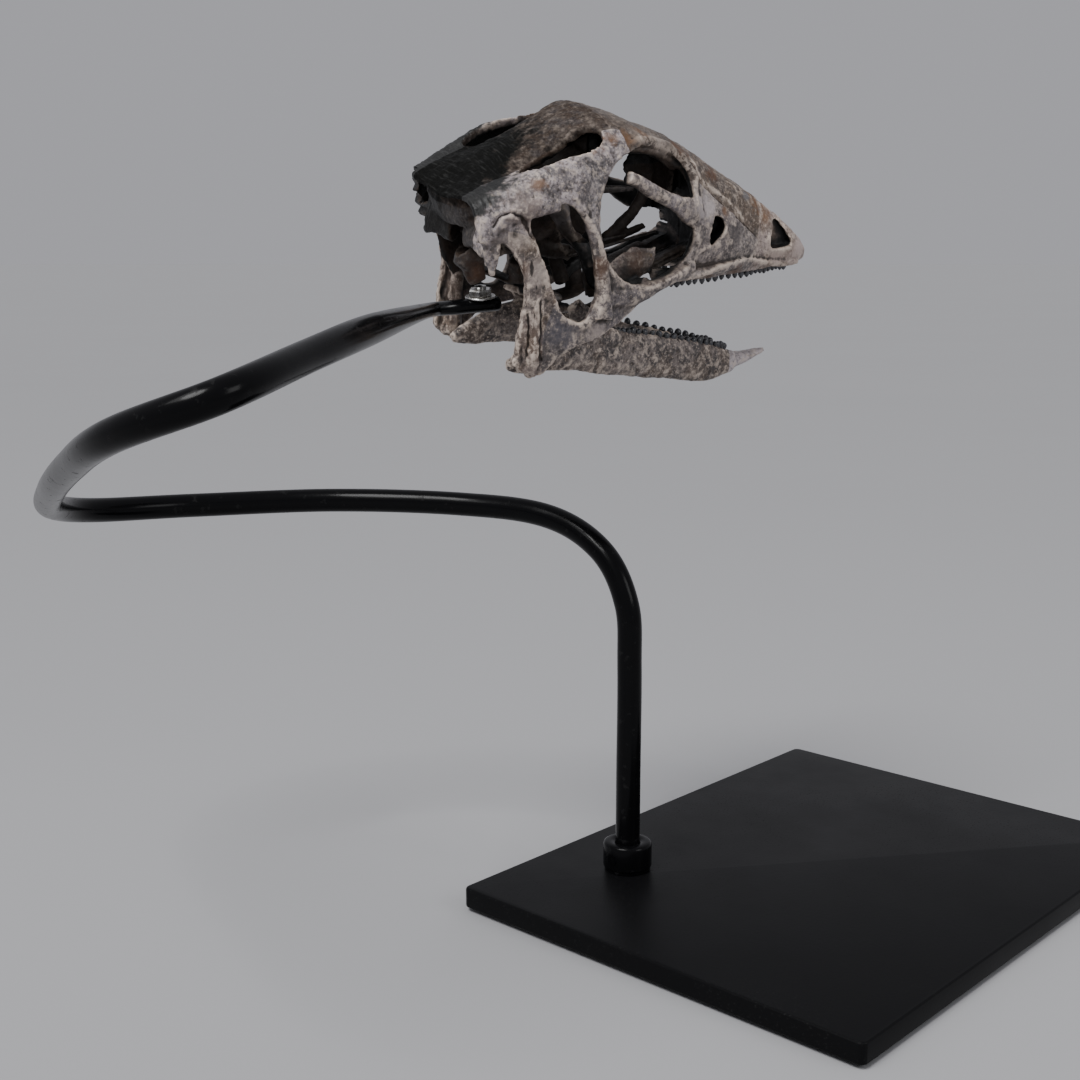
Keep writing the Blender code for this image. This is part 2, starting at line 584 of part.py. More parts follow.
def pin(steel):
    """The pin from the rod's flat end up to the brain case, and the nut on it."""
    turns = [math.pi * s / 6 for s in range(12)]
    circle = [PIN_AT + Vector((math.cos(a), math.sin(a), 0)) * PIN_RADIUS for a in turns]
    place("stand_pin", tube_of([[(p.x, p.y, z) for p in circle] for z in (PIN_FOOT, PIN_TOP)]), steel)
    nut = box_profile(PIN_RADIUS + GAP, NUT_RADIUS, NUT_FOOT, NUT_TOP)
    place("stand_nut", ring_round(nut, PIN_AT, 12), steel)


def main():
    """Builds the skull in its own axes, poses it, and puts the stand under it."""
    for thing in list(bpy.data.objects):
        bpy.data.objects.remove(thing)
    brown, grey = finish("bone_brown", BROWN, 0.6), finish("bone_grey", GREY, 0.6)
    dark = finish("bone_dark", DARK, 0.7)
    black, steel = finish("black_paint", BLACK, 0.25), finish("bright_steel", STEEL, 0.25, 1.0)
    part_cranium(brown, grey, dark)
    lower_jaw(brown)
    pin(steel)
    pose = bpy.data.objects.new("skull_pose", None)
    bpy.context.scene.collection.objects.link(pose)
    pose.location = JAW_JOINTS_AT * MM
    pose.rotation_euler = TURN
    for thing in bpy.data.objects:
        if thing.type == "MESH":
            thing.parent = pose
    stand(black)


main()
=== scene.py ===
"""The skull of a small plant-eating dinosaur on its bent black rod and plate, dressed for the camera.

The bones are modelled in the skull's own axes, in millimetres: +X to the snout, +Y to the animal's left,
+Z up, from the point midway between the two jaw joints. The stand is in the world's axes, also in
millimetres. A finished piece is in metres, with its place in its mesh.
"""

import math
import random

import bmesh
import bpy
import numpy as np
from mathutils import Euler, Matrix, Vector, noise
from mathutils.bvhtree import BVHTree
from mathutils.kdtree import KDTree


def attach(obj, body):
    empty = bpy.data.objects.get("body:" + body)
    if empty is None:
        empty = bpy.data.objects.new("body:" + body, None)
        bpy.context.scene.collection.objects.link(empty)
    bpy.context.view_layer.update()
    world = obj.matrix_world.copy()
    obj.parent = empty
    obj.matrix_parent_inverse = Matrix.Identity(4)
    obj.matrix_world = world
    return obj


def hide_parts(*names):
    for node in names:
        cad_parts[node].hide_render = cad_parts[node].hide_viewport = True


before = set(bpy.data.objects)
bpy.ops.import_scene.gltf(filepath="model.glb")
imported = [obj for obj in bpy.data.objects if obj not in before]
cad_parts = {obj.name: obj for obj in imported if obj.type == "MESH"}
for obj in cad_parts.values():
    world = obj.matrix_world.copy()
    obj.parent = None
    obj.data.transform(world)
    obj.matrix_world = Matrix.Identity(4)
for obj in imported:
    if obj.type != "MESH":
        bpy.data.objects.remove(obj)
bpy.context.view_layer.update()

# The plate is a steel slab sprayed satin black, which the whole model stands on. Its corners are
# rounded and its edges broken, and a smaller foot under it leaves a dark line round its edge.
MM = 0.001
PLATE_SIZE = (240.0, 184.0, 10.0)
PLATE_CORNER, PLATE_EDGE = 3.0, 1.0
PLATE_SHARP = 12  # degrees between two faces from which their edge shows
FOOT_IN, FOOT_HEIGHT = 2.5, 1.6
SATIN_BLACK, DUST_GREY = (0.005, 0.005, 0.0055), (0.03, 0.03, 0.03)


class Signal:
    """A value that changes over a surface. Python's operators on it add the shader's Math nodes."""

    def __init__(self, finish, socket):
        self.finish, self.socket = finish, socket

    def math(self, operation, a, b):
        return self.finish.node("ShaderNodeMath", {"operation": operation}, {0: a, 1: b})

    def __add__(self, other):
        return self.math("ADD", self, other)

    def __radd__(self, other):
        return self.math("ADD", other, self)

    def __sub__(self, other):
        return self.math("SUBTRACT", self, other)

    def __rsub__(self, other):
        return self.math("SUBTRACT", other, self)

    def __mul__(self, other):
        return self.math("MULTIPLY", self, other)

    def __rmul__(self, other):
        return self.math("MULTIPLY", other, self)


class Finish:
    """A material in the making, with the patterns that the finishes here are made of."""

    def __init__(self, name, **constants):
        self.material = bpy.data.materials.new(name)
        self.material.use_nodes = True
        self.tree = self.material.node_tree
        self.shader = self.tree.nodes["Principled BSDF"]
        self.at = self.node("ShaderNodeTexCoord", out="Object")
        for socket, value in constants.items():
            self.shader.inputs[socket.replace("_", " ")].default_value = value

    def node(self, kind, settings={}, sockets={}, out=0):
        """Adds a node, makes its settings, then fills its sockets with values or links."""
        made = self.tree.nodes.new(kind)
        for name, value in settings.items():
            setattr(made, name, value)
        for name, value in sockets.items():
            if isinstance(value, Signal):
                self.tree.links.new(value.socket, made.inputs[name])
            else:
                made.inputs[name].default_value = value
        return Signal(self, made.outputs[out])

    def cloud(self, size, detail=3.0, at=None):
        """Soft noise with lumps of a size, in the units of the place it reads."""
        sockets = {"Vector": at or self.at, "Scale": 1 / size, "Detail": detail, "Roughness": 0.6}
        return self.node("ShaderNodeTexNoise", {}, sockets)

    def ramp(self, value, low, high):
        """Smooth rise from 0 to 1 while the value goes from low to high."""
        sockets = {"Value": value, "From Min": low, "From Max": high}
        return self.node("ShaderNodeMapRange", {"interpolation_type": "SMOOTHSTEP"}, sockets)

    def mix(self, share, a, b):
        """A colour that goes from a to b with the share."""
        a, b = (c if isinstance(c, Signal) else (*c, 1) for c in (a, b))
        return self.node("ShaderNodeMix", {"data_type": "RGBA"}, {0: share, 6: a, 7: b}, out=2)

    def lay(self, colour=None, roughness=None, relief=None, coat=None):
        """Joins what varies to the shader. Relief is a height in metres."""
        links = {"Base Color": colour, "Roughness": roughness, "Coat Weight": coat}
        if relief:
            links["Normal"] = self.node("ShaderNodeBump", {}, {"Height": relief, "Distance": 1.0})
        for name, value in links.items():
            if value:
                self.tree.links.new(value.socket, self.shader.inputs[name])
        return self.material


def show(name, bm, material, to_metres=Matrix.Scale(MM, 4), sharp=40):
    """Turns a solid drawn in millimetres into a piece in metres, smooth but for its sharp edges."""
    bmesh.ops.recalc_face_normals(bm, faces=bm.faces)
    bmesh.ops.transform(bm, matrix=to_metres, verts=bm.verts)
    mesh = bpy.data.meshes.new(name)
    bm.to_mesh(mesh)
    bm.free()
    mesh.shade_smooth()
    mesh.set_sharp_from_angle(angle=math.radians(sharp))
    mesh.materials.append(material)
    piece = bpy.data.objects.new(name, mesh)
    bpy.context.scene.collection.objects.link(piece)
    return piece


satin = Finish("satin_black_lacquer", IOR=1.16)
dust = satin.ramp(satin.cloud(0.0009, 2), 0.60, 0.72) * satin.ramp(satin.cloud(0.06), 0.42, 0.62)
satin_black = satin.lay(
    colour=satin.mix(dust * 0.5, SATIN_BLACK, DUST_GREY),
    roughness=0.28 + satin.cloud(0.045) * 0.18 + dust * 0.3,
    relief=satin.cloud(0.0016, 1) * 0.00002,
)

bm = bmesh.new()
bmesh.ops.create_cube(bm, size=1)
bmesh.ops.scale(bm, vec=(*PLATE_SIZE[:2], PLATE_SIZE[2] - FOOT_HEIGHT), verts=bm.verts)
bmesh.ops.translate(bm, vec=(0, 0, (PLATE_SIZE[2] + FOOT_HEIGHT) / 2), verts=bm.verts)
uprights = [e for e in bm.edges if abs(e.verts[0].co.z - e.verts[1].co.z) > 1]
bmesh.ops.bevel(
    bm, geom=uprights, offset=PLATE_CORNER, segments=6, profile=0.5, affect="EDGES", material=-1,
)
rims = [e for e in bm.edges if abs(e.verts[0].co.z - e.verts[1].co.z) < 0.1]
bmesh.ops.bevel(bm, geom=rims, offset=PLATE_EDGE, segments=4, profile=0.5, affect="EDGES", material=-1)
underside = min(bm.faces, key=lambda face: face.calc_center_median().z)
bmesh.ops.inset_region(bm, faces=[underside], thickness=FOOT_IN, depth=0)
foot = bmesh.ops.extrude_face_region(bm, geom=[underside])["geom"]
bmesh.ops.delete(bm, geom=[underside], context="FACES")
foot_corners = [v for v in foot if isinstance(v, bmesh.types.BMVert)]
bmesh.ops.translate(bm, vec=(0, 0, -FOOT_HEIGHT), verts=foot_corners)
plate = show("plate", bm, satin_black, sharp=PLATE_SHARP)
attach(plate, "root")
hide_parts("stand_base")

# The rod is a steel bar 10 mm thick, bent by hand into one long bow from the plate to the back of the
# skull, with its end hammered flat under the brain case. It is painted gloss black.
SKULL_TO_WORLD = Matrix.Translation((-120.0, 90.0, 224.5)) @ Euler(
    (math.radians(9.9), math.radians(-6.4), math.radians(-20.0))
).to_matrix().to_4x4()
SKULL_TO_METRES = Matrix.Scale(MM, 4) @ SKULL_TO_WORLD
ROD_RADIUS, ROD_FLAT, ROD_SAMPLES, ROD_SIDES = 5.0, 2.8, 220, 36
ROD_FOOT = (-60.0, 56.0)
# The flat end under the skull in the skull's axes, then the rest of the way in the world's axes
ROD_START = ((15, -3.5, 16.6), (0, 0, 16.4), (-14, 1, 16.4))
ROD_ROUTE = (
    (-198, 52, 236), (-240, 30, 231), (-284, 14, 223), (-298, 45, 211), (-280, 98, 196), (-252, 160, 178.5),
    (-226, 206, 165), (-196, 226, 157.5), (-152, 219, 155), (-104, 187, 155), (-74, 140, 155),
    (-62, 100, 153), (-60, 72, 142), (-60, 58, 122), (*ROD_FOOT, 96), (*ROD_FOOT, 50), (*ROD_FOOT, 10),
)
# How the rod's tip is rounded: how far from its end, and the share of the full size there
ROD_TIP_ROUND = ((0.0, 0.55), (0.35, 0.8), (0.8, 0.95))
GLOSS_BLACK = (0.003, 0.003, 0.0035)


def smooth_line(points, samples, closed=False):
    """Rows of numbers along a Catmull-Rom curve through the given ones."""
    p = np.array(points, float)
    spans = len(p) if closed else len(p) - 1
    p = np.vstack([p[-1], p, p[0], p[1]]) if closed else np.vstack([2 * p[0] - p[1], p, 2 * p[-1] - p[-2]])
    made = []
    for k in range(samples):
        along = spans * k / (samples if closed else samples - 1)
        i = min(int(along), spans - 1)
        t = along - i
        a, b, c, d = p[i : i + 4]
        made.append(b + 0.5 * t * (c - a + t * (2 * a - 5 * b + 4 * c - d + t * (3 * b - a - 3 * c + d))))
    return np.array(made)


def loft(rings):
    """A closed solid: a circle drawn on from each ring of points to the next, and capped."""
    bm = bmesh.new()
    ring = bmesh.ops.create_circle(bm, segments=len(rings[0]), radius=1)["verts"]
    edges = list(bm.edges)
    for vert, point in zip(ring, rings[0]):
        vert.co = point
    for points in rings[1:]:
        drawn = bmesh.ops.extrude_edge_only(bm, edges=edges)["geom"]
        new = {v for v in drawn if isinstance(v, bmesh.types.BMVert)}
        ring = [next(e.other_vert(v) for e in v.link_edges if e.other_vert(v) in new) for v in ring]
        edges = [e for e in drawn if isinstance(e, bmesh.types.BMEdge) and new.issuperset(e.verts)]
        for vert, point in zip(ring, points):
            vert.co = point
    bmesh.ops.holes_fill(bm, edges=[e for e in bm.edges if e.is_boundary])
    bmesh.ops.recalc_face_normals(bm, faces=bm.faces)
    return bm


def rings_along(line, sides, wide_axis=(0, 1, 0)):
    """Oval rings along rows of X, Y, Z, half width, half thickness. The width starts along wide_axis."""
    across = Vector(wide_axis)
    rings = []
    for (x, y, z, wide, thick), run in zip(line, np.gradient(line[:, :3], axis=0)):
        run = Vector(run).normalized()
        across = (across - run * across.dot(run)).normalized()
        up = run.cross(across)
        middle, turns = Vector((x, y, z)), [2 * math.pi * s / sides for s in range(sides)]
        rings.append([middle + across * wide * math.cos(a) + up * thick * math.sin(a) for a in turns])
    return rings


gloss = Finish("gloss_black_paint", IOR=1.15, Coat_Roughness=0.12, Coat_IOR=1.25)
scuffs = gloss.ramp(gloss.cloud(0.004, 4), 0.60, 0.70)
gloss_black = gloss.lay(
    colour=gloss.mix(scuffs * 0.3, GLOSS_BLACK, DUST_GREY),
    roughness=0.16 + gloss.cloud(0.02) * 0.14 + scuffs * 0.15,
    coat=0.3 - scuffs * 0.2,
    relief=gloss.cloud(0.007, 1) * 0.00009 + gloss.cloud(0.0012, 1) * 0.000006,
)

rod_start = [(*(SKULL_TO_WORLD @ Vector(p)), ROD_RADIUS, ROD_FLAT) for p in ROD_START]
rod_line = smooth_line(rod_start + [(*p, ROD_RADIUS, ROD_RADIUS) for p in ROD_ROUTE], ROD_SAMPLES)
rod_rings = rings_along(rod_line, ROD_SIDES)
tip, inwards = Vector(rod_line[0, :3]), Vector(rod_line[3, :3] - rod_line[0, :3]).normalized()
tip_rings = [
    [tip + (p - tip) * share + inwards * along for p in rod_rings[0]] for along, share in ROD_TIP_ROUND
]
rod = show("rod", loft(tip_rings + rod_rings[1:]), gloss_black)
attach(rod, "root")
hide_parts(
    "stand_rod_tip", "stand_rod_arm", "stand_rod_turn", "stand_rod_drop", "stand_rod_bend",
    "stand_rod_return", "stand_rod_elbow", "stand_rod_post",
)

# The socket is a turned steel collar, painted like the rod. It stands on the plate, and a grub screw in
# its side clamps the rod's foot.
SOCKET_PROFILE = (  # radius and height, from the bore's foot round to its mouth
    (5.05, 10), (9.2, 10), (9.5, 10.3), (9.5, 11.4), (10, 11.9), (10, 20.6), (9.7, 21.5), (8.9, 22),
    (6, 22), (5.05, 21.4),
)
TURNED_STEPS = 72
SCREW_AT = (-70.1, 56.0, 16.4)
SCREW_RADIUS, SCREW_KEY, SCREW_DEEP = 2.2, 1.15, 1.2


def turned(profile, steps=TURNED_STEPS):
    """A solid turned about the upright line through the origin, from an outline of radius and height."""
    bm = bmesh.new()
    corners = [bm.verts.new((r, 0, z)) for r, z in profile]
    outline = [bm.edges.new((a, b)) for a, b in zip(corners, corners[1:] + corners[:1])]
    bmesh.ops.spin(
        bm, geom=corners + outline, cent=(0, 0, 0), axis=(0, 0, 1), angle=2 * math.pi, steps=steps,
        use_merge=True,
    )
    bmesh.ops.remove_doubles(bm, verts=bm.verts, dist=0.0001)
    return bm


def gather(solids):
    """One bmesh that holds several, which are used up."""
    whole = bmesh.new()
    for bm in solids:
        spare = bpy.data.meshes.new("spare")
        bm.to_mesh(spare)
        bm.free()
        whole.from_mesh(spare)
        bpy.data.meshes.remove(spare)
    return whole


def grub_screw(radius, key, deep):
    """A short round screw with a six-sided hole for a key in its face, lying along X."""
    bm = bmesh.new()
    rim = bmesh.ops.create_circle(bm, segments=24, radius=radius)["verts"]
    hole = bmesh.ops.create_circle(bm, segments=6, radius=key)["verts"]
    loops = [e for v in rim + hole for e in v.link_edges]
    bmesh.ops.bridge_loops(bm, edges=list(set(loops)))
    for verts, depth in ((hole, -deep), (rim, -2 * deep)):
        edges = list({e for v in verts for e in v.link_edges if e.is_boundary})
        drawn = bmesh.ops.extrude_edge_only(bm, edges=edges)["geom"]
        moved = [v for v in drawn if isinstance(v, bmesh.types.BMVert)]
        bmesh.ops.translate(bm, vec=(0, 0, depth), verts=moved)
    bmesh.ops.holes_fill(bm, edges=[e for e in bm.edges if e.is_boundary])
    bmesh.ops.rotate(bm, matrix=Matrix.Rotation(-math.pi / 2, 3, "Y"), verts=bm.verts)
    return bm


bm = turned(SOCKET_PROFILE)
bmesh.ops.translate(bm, vec=(*ROD_FOOT, 0), verts=bm.verts)
screw = grub_screw(SCREW_RADIUS, SCREW_KEY, SCREW_DEEP)
bmesh.ops.translate(screw, vec=SCREW_AT, verts=screw.verts)
socket = show("socket", gather([bm, screw]), gloss_black)
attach(socket, "root")
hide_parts("stand_socket")

# A threaded steel pin goes up from the rod's flat end into the brain case, and a nut on a washer clamps
# it. Both are bright and a little scratched.
PIN_AT = (8.0, -1.5)
PIN_RADIUS, PIN_FOOT, PIN_TOP, THREAD_PITCH, THREAD_DEPTH = 2.2, 17.0, 24.5, 0.7, 0.22
NUT_OUTLINE = ((2.05, 19.9), (4.0, 19.9), (4.6, 20.3), (4.6, 22.1), (4.0, 22.6), (2.6, 22.6), (2.05, 22.2))
WASHER_OUTLINE = ((2.3, 19.2), (5.6, 19.2), (5.75, 19.35), (5.75, 19.75), (5.6, 19.9), (2.3, 19.9))
PIN_STEPS, NUT_SIDES, WASHER_STEPS, NUT_SHARP = 32, 6, 48, 25
STEEL, STEEL_DARK = (0.62, 0.61, 0.59), (0.28, 0.26, 0.24)

steel = Finish("bright_steel", Metallic=1.0, Anisotropic=0.4)
scratches = steel.cloud(0.0022, 4)
bright_steel = steel.lay(
    colour=steel.mix(steel.ramp(scratches, 0.5, 0.7), STEEL, STEEL_DARK),
    roughness=0.16 + scratches * 0.22,
    relief=scratches * 0.00001,
)

turns = int((PIN_TOP - PIN_FOOT) / THREAD_PITCH)
thread = [(0.01, PIN_FOOT)]
for k in range(turns):
    foot = PIN_FOOT + k * THREAD_PITCH
    thread += [(PIN_RADIUS - THREAD_DEPTH, foot), (PIN_RADIUS, foot + THREAD_PITCH / 2)]
thread.append((0.01, PIN_FOOT + turns * THREAD_PITCH))
pin_to_metres = SKULL_TO_METRES @ Matrix.Translation((*PIN_AT, 0))
pin = show("pin", turned(thread, PIN_STEPS), bright_steel, pin_to_metres)
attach(pin, "root")
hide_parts("stand_pin")

nut_parts = gather([turned(NUT_OUTLINE, NUT_SIDES), turned(WASHER_OUTLINE, WASHER_STEPS)])
nut = show("nut", nut_parts, bright_steel, pin_to_metres, sharp=NUT_SHARP)
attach(nut, "root")
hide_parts("stand_nut")

# The upper skull is cast in one, in tinted resin, from the fossil. Its form is a closed skull hollowed
# out and pierced for the eyes, cheeks, nose and roof, with bars and plates of bone grown onto it.
SHELL = 2.8  # thickness of the bones of the roof and cheeks
GRAIN, SOFTENING = 0.62, 3  # size of the cells in which forms are fused, and rounds of smoothing
BRAIN_ROOM_FRONT = 98.0  # the skull is solid bone from here to the tip of the snout
CLEAR, WELL_BELOW, WELL_BEHIND = 60.0, -20.0, -20.0  # places outside the skull, where cuts begin and end
# Half sections of the outer skull. Each has its place along X, then half width and height from the
# middle of the roof, over the shoulder and down the side to the edge of the mouth.
SECTIONS = (
    (-7, (0, 59), (12, 60.5), (23, 62), (29, 60), (32.5, 54), (34, 47), (34.5, 34), (34.5, 20)),
    (4, (0, 67.5), (11, 67), (21, 66), (29, 65.5), (34, 59), (35.5, 48), (36, 26), (35.5, 2)),
    (16, (0, 73.5), (10, 72.3), (17, 69.5), (28, 70.6), (34, 64.6), (36.5, 46), (37.5, 22), (36.5, -6)),
    (31, (0, 79), (9, 77.6), (15.5, 73.6), (28, 75), (33.5, 69), (36.5, 46), (38, 22), (37.5, 2)),
    (50, (0, 85.4), (10, 84.8), (19, 82), (26.5, 75.5), (30.5, 61), (32.5, 44), (33.5, 26), (32, 8)),
    (70, (0, 79.3), (9, 78), (16, 74.8), (20.5, 69.5), (25, 58), (27.5, 44), (28, 29), (25, 16)),
    (90, (0, 70.5), (7, 69), (12, 65.5), (16, 59), (19, 49), (21, 38), (20.5, 28), (17.5, 18)),
    (107, (0, 60), (5, 58), (9, 54.5), (12.5, 48), (16, 40), (17.3, 33), (16.8, 26), (14, 18)),
    (125, (0, 48.3), (4, 46.5), (7, 43.5), (9.2, 38.5), (10.8, 32.5), (11.4, 27.5), (11, 23), (9, 17)),
    (140, (0, 37.8), (3, 36.2), (5, 33.8), (6.6, 30.6), (7.8, 27), (8.2, 24), (7.7, 20), (6, 15.2)),
    (150, (0, 29), (2.2, 28.2), (3.8, 26.6), (4.8, 24.4), (5.3, 22), (5.3, 20.2), (4.9, 18), (3.7, 15.6)),
    (156.5, (0, 22.4), (0.9, 22), (1.6, 21.4), (2, 20.6), (2.2, 19.8), (2.2, 19), (2, 18), (1.5, 17)),
)
ROWS, COLUMNS = 84, 73
# The old bone is pressed, so that its roof rises toward its left. The rise across it starts at one
# height and is full at another. It is full behind one place along X and ends at another.
LEAN, LEAN_FROM, LEAN_FULL = 0.13, 50.0, 75.0
LEAN_FULL_BEHIND, LEAN_ENDS = 50.0, 66.0

# Outlines of the openings, seen from the side, as X and Z
EYE = (
    (71, 71), (80, 68), (88, 61), (90.2, 52), (89.6, 40), (86, 29.5), (74, 24.2), (58, 23.6), (49.5, 27.4),
    (43, 36), (40.5, 49), (43.5, 62), (50.5, 70), (61, 71.8),
)
CHEEK = (
    (14, 58), (22, 59), (29, 56.5), (35, 47), (37.8, 33), (37.6, 22), (31, 14.5), (23.5, 18), (20, 27),
    (17, 36), (12.5, 46),
)
SNOUT_PIT = ((101.5, 42), (105.5, 40.5), (106.5, 36.5), (103, 33.5), (98.5, 31), (98, 34), (99.5, 38.5))
NOSTRIL = ((137.4, 35), (140.5, 34), (146, 26.5), (144.6, 24), (134.7, 24.6), (133.6, 27.5), (136, 31.5))
BEHIND_QUADRATE = (
    (-25, 45), (-3, 45.5), (1, 46), (5, 42), (8.3, 35), (9.3, 25), (7, 16), (5, 6), (3.2, -1), (3, -16),
    (-25, -16),
)
UNDER_CHEEK = (
    (-4, -4.5), (10, -4.5), (15, -3), (20, 1.5), (27, 5.5), (38, 7), (48, 9.5), (56, 13.5), (65, 18.5),
    (76, 21), (90, 20.5), (107, 19.5), (125, 18.2), (140, 16.6), (165, 16), (165, -16), (-4, -16),
)
# A notch that the fossil has only in the front edge of its left eye opening
LEFT_NOTCH = ((84, 41), (91, 41.5), (97.5, 40), (98.5, 36), (96, 32), (90, 30), (84, 30))
# What has broken off behind on the left only
LEFT_BREAK = (
    (-14, 68), (-3.4, 64), (-1.6, 61.5), (-2.8, 59.5), (-1.2, 57), (-2.2, 55), (-0.2, 52.5), (-1.2, 50.5),
    (1.2, 48), (0.2, 46), (2.4, 44), (1.0, 40.5), (3.4, 41), (3.4, 28), (-14, 28),
)
LEFT_NOTCH_FROM, LEFT_BREAK_FROM = 8, 22  # how far from the middle line they start
# Each opening in the side and how far from the middle line it starts
SIDE_OPENINGS = ((EYE, 14), (CHEEK, 20), (SNOUT_PIT, 10), (NOSTRIL, 2.5), (BEHIND_QUADRATE, 24))
OPENING_POINTS, NOTCH_POINTS, ROOF_OPENING_POINTS = 72, 40, 60  # points in a smoothed outline
# Outlines seen from above, as X and Y, of the openings in the roof on the left and the right
LEFT_ROOF_OPENING = (
    (14.5, 22), (20.5, 16), (31, 13.2), (43, 12.4), (50, 15), (52, 20), (46.5, 25.5), (33, 27), (20.5, 27),
)
RIGHT_ROOF_OPENING = (
    (14.5, -23), (20.5, -17.3), (31, -15), (42, -15), (47, -17), (49, -20.5), (45, -25.6), (33, -27.6),
    (20.5, -27.6),
)
ROOF_CUT = (60, 100)  # the heights between which the openings in the roof are cut
CORD_HOLE_AT = (-8, 0, 40.0)
CORD_HOLE_RADIUS, CORD_HOLE_DEPTH = 4.4, 14.0

# Bars and plates on the animal's left, each through points of X, Y, Z, half width, half thickness
LEFT_BARS = {
    "quadrate": (
        (7.5, 32.3, 51.5, 4, 4.6), (11.6, 32.8, 43.5, 4, 3.5), (14.2, 33.5, 33, 4, 3.1),
        (14.2, 34, 20, 4.1, 3.1), (12, 33.5, 6, 4.8, 4), (10, 32, -2.2, 4.6, 3.6),
    ),
    "squamosal_hood": (
        (24, 33.5, 59, 2.5, 4), (12, 34, 57.5, 3, 4.5), (2.5, 33, 54.5, 3.2, 4), (-2, 32.3, 48.5, 2.4, 3),
        (-2.7, 32.5, 43, 2.2, 2.4), (-2.3, 32.8, 38, 1.7, 1.8), (-2, 33, 34.5, 0.8, 0.9),
    ),
    "postorbital": (
        (47, 27.5, 71, 2, 3), (40.5, 31, 61, 2.2, 3), (37, 33.4, 50, 2.2, 2.4), (38.7, 34, 42, 2.2, 2),
        (40.5, 34.6, 32, 2.4, 2.4), (41.5, 35.4, 22, 2.6, 3), (40, 36, 14, 3, 5),
    ),
    "cheek_bar": (
        (44, 33.5, 21, 2.5, 4), (58, 30.5, 19, 2.4, 3), (74, 26, 22, 2, 2.2), (90, 20.5, 25, 1.6, 2),
    ),
    "eye_rim_top": (
        (43, 28.6, 66, 1.8, 1.8), (52, 24.8, 72.3, 1.8, 1.8), (62, 21.2, 73.6, 1.8, 1.8),
        (71, 17, 72.9, 1.8, 1.8), (81, 13.9, 69.8, 1.8, 1.8), (89.2, 13.6, 63, 1.8, 1.8),
        (91.9, 15.6, 55, 1.8, 1.8), (91.4, 18.4, 44, 1.8, 1.8), (90, 19.4, 34, 1.8, 1.8),
        (86, 20.6, 26.5, 1.6, 1.6),
    ),
    "snout_edge": (
        (80, 23, 22.5, 1.6, 1.6), (107, 16, 21.5, 1.8, 1.8), (124, 10.3, 20.5, 1.6, 1.6),
        (141, 6.4, 17.4, 1.4, 1.4), (151, 4.2, 17, 1.2, 1.2),
    ),
    "tooth_shelf": (
        (73, 17.5, 22, 2.4, 3), (90, 15, 21, 2.6, 3), (106, 12.3, 20.3, 2.6, 3), (122, 9, 19.6, 2.4, 3),
        (134, 6.3, 19, 2, 2.5), (145, 4.2, 18.4, 1.6, 2),
    ),
    "palpebral": (
        (94, 17, 44.5, 2.4, 6.2), (90, 18.6, 44.8, 2.4, 5.6), (84.5, 21, 47.2, 2.4, 4.4),
        (79, 22.6, 50.2, 2.3, 3.2), (73.5, 24, 53, 2.2, 2.6), (66.6, 25.5, 56.6, 2.3, 2.7),
        (60, 27, 61, 2.3, 2.5), (55.5, 28.3, 63.6, 2.3, 2.5),
    ),
    "paroccipital": ((3, 6, 46, 3, 7), (0, 18, 47, 2.4, 6), (-1, 29, 44, 2.2, 6), (-2, 32, 38, 1.6, 3)),
    "quadrate_wing": ((11, 31, 27, 9, 1.4), (20, 24, 25, 9, 1.2), (30, 13, 19, 6, 1.6)),
    "pterygoid": (
        (27, 5, 30, 3, 3), (31, 12, 16, 4, 2), (48, 11, 12.5, 4.5, 1.3), (62, 10.5, 17.5, 4.5, 1.3),
        (76, 10, 25, 4.5, 1.2), (98, 8, 31, 4, 1.4),
    ),
    "mouth_roof": ((60, 7, 20, 5.5, 1), (75, 8, 24, 6.5, 1), (90, 7, 28, 6, 1), (102, 5, 31, 4, 1)),
    "ectopterygoid": ((54, 10, 14.5, 4, 1.6), (59, 20, 19.5, 4.5, 1.6), (63, 28, 22, 4, 2)),
    "palate_flange": ((46, 23, 24, 1.2, 3), (56, 22, 27, 1.2, 6), (66, 21, 31, 1.2, 6), (71, 21, 36, 1, 2)),
    "side_rod": (
        (27, 11, 59, 3, 4), (33.5, 15, 52.5, 3.8, 4.4), (36.5, 15.5, 44, 2.3, 2.4),
        (42, 15.5, 38.4, 2.5, 2.7), (46.5, 15, 31.5, 2.8, 3), (50, 11.5, 17, 2.5, 3),
    ),
}
# Bars on the middle line, in the same form
MIDDLE_BARS = {
    "brain_case": (
        (3, 0, 49, 13, 12), (12, 0, 53, 13, 17), (26, 0, 56, 12, 20), (37, 0, 60, 9, 19), (45, 0, 73, 7, 9),
    ),
    "condyle": (
        (6.5, 0, 42, 5, 4.6), (5.5, 0, 34, 4.4, 4.2), (6.5, -0.6, 28, 4.2, 4), (7.5, -1.2, 25, 3.4, 3.2),
    ),
    "brain_wall": ((38, 0, 47, 5, 11), (47, 0, 45, 4, 9), (54, 0, 40, 2, 5)),
    "brain_front": ((44, 0, 73, 6, 8), (53, 0, 74, 5, 7), (60, 0, 74, 3, 4)),
    "eye_wall": (
        (70.5, 0, 60.5, 1.2, 2.5), (78, 0, 62, 1.4, 7), (86, 0, 60, 1.4, 7.5), (95, 0, 53, 1.4, 5),
    ),
    "brain_floor": (
        (1, 0, 31, 3.6, 3.4), (6, 0, 36, 6, 5), (18, 0, 39, 6, 5), (30, 0, 37, 4, 4.6), (40, 0, 33, 2.6, 3),
        (52, 0, 31.5, 1.8, 2), (64, 0, 34, 1.4, 1.6), (80, 0, 38, 1.3, 1.4),
    ),
    "septum": (
        (62, 0, 34, 1.6, 3), (70, 0, 40, 1.5, 2.4), (77, 0, 47, 1.5, 2.4), (82, 0, 58, 1.6, 3),
        (80, 0, 73, 2, 4.5),
    ),
}
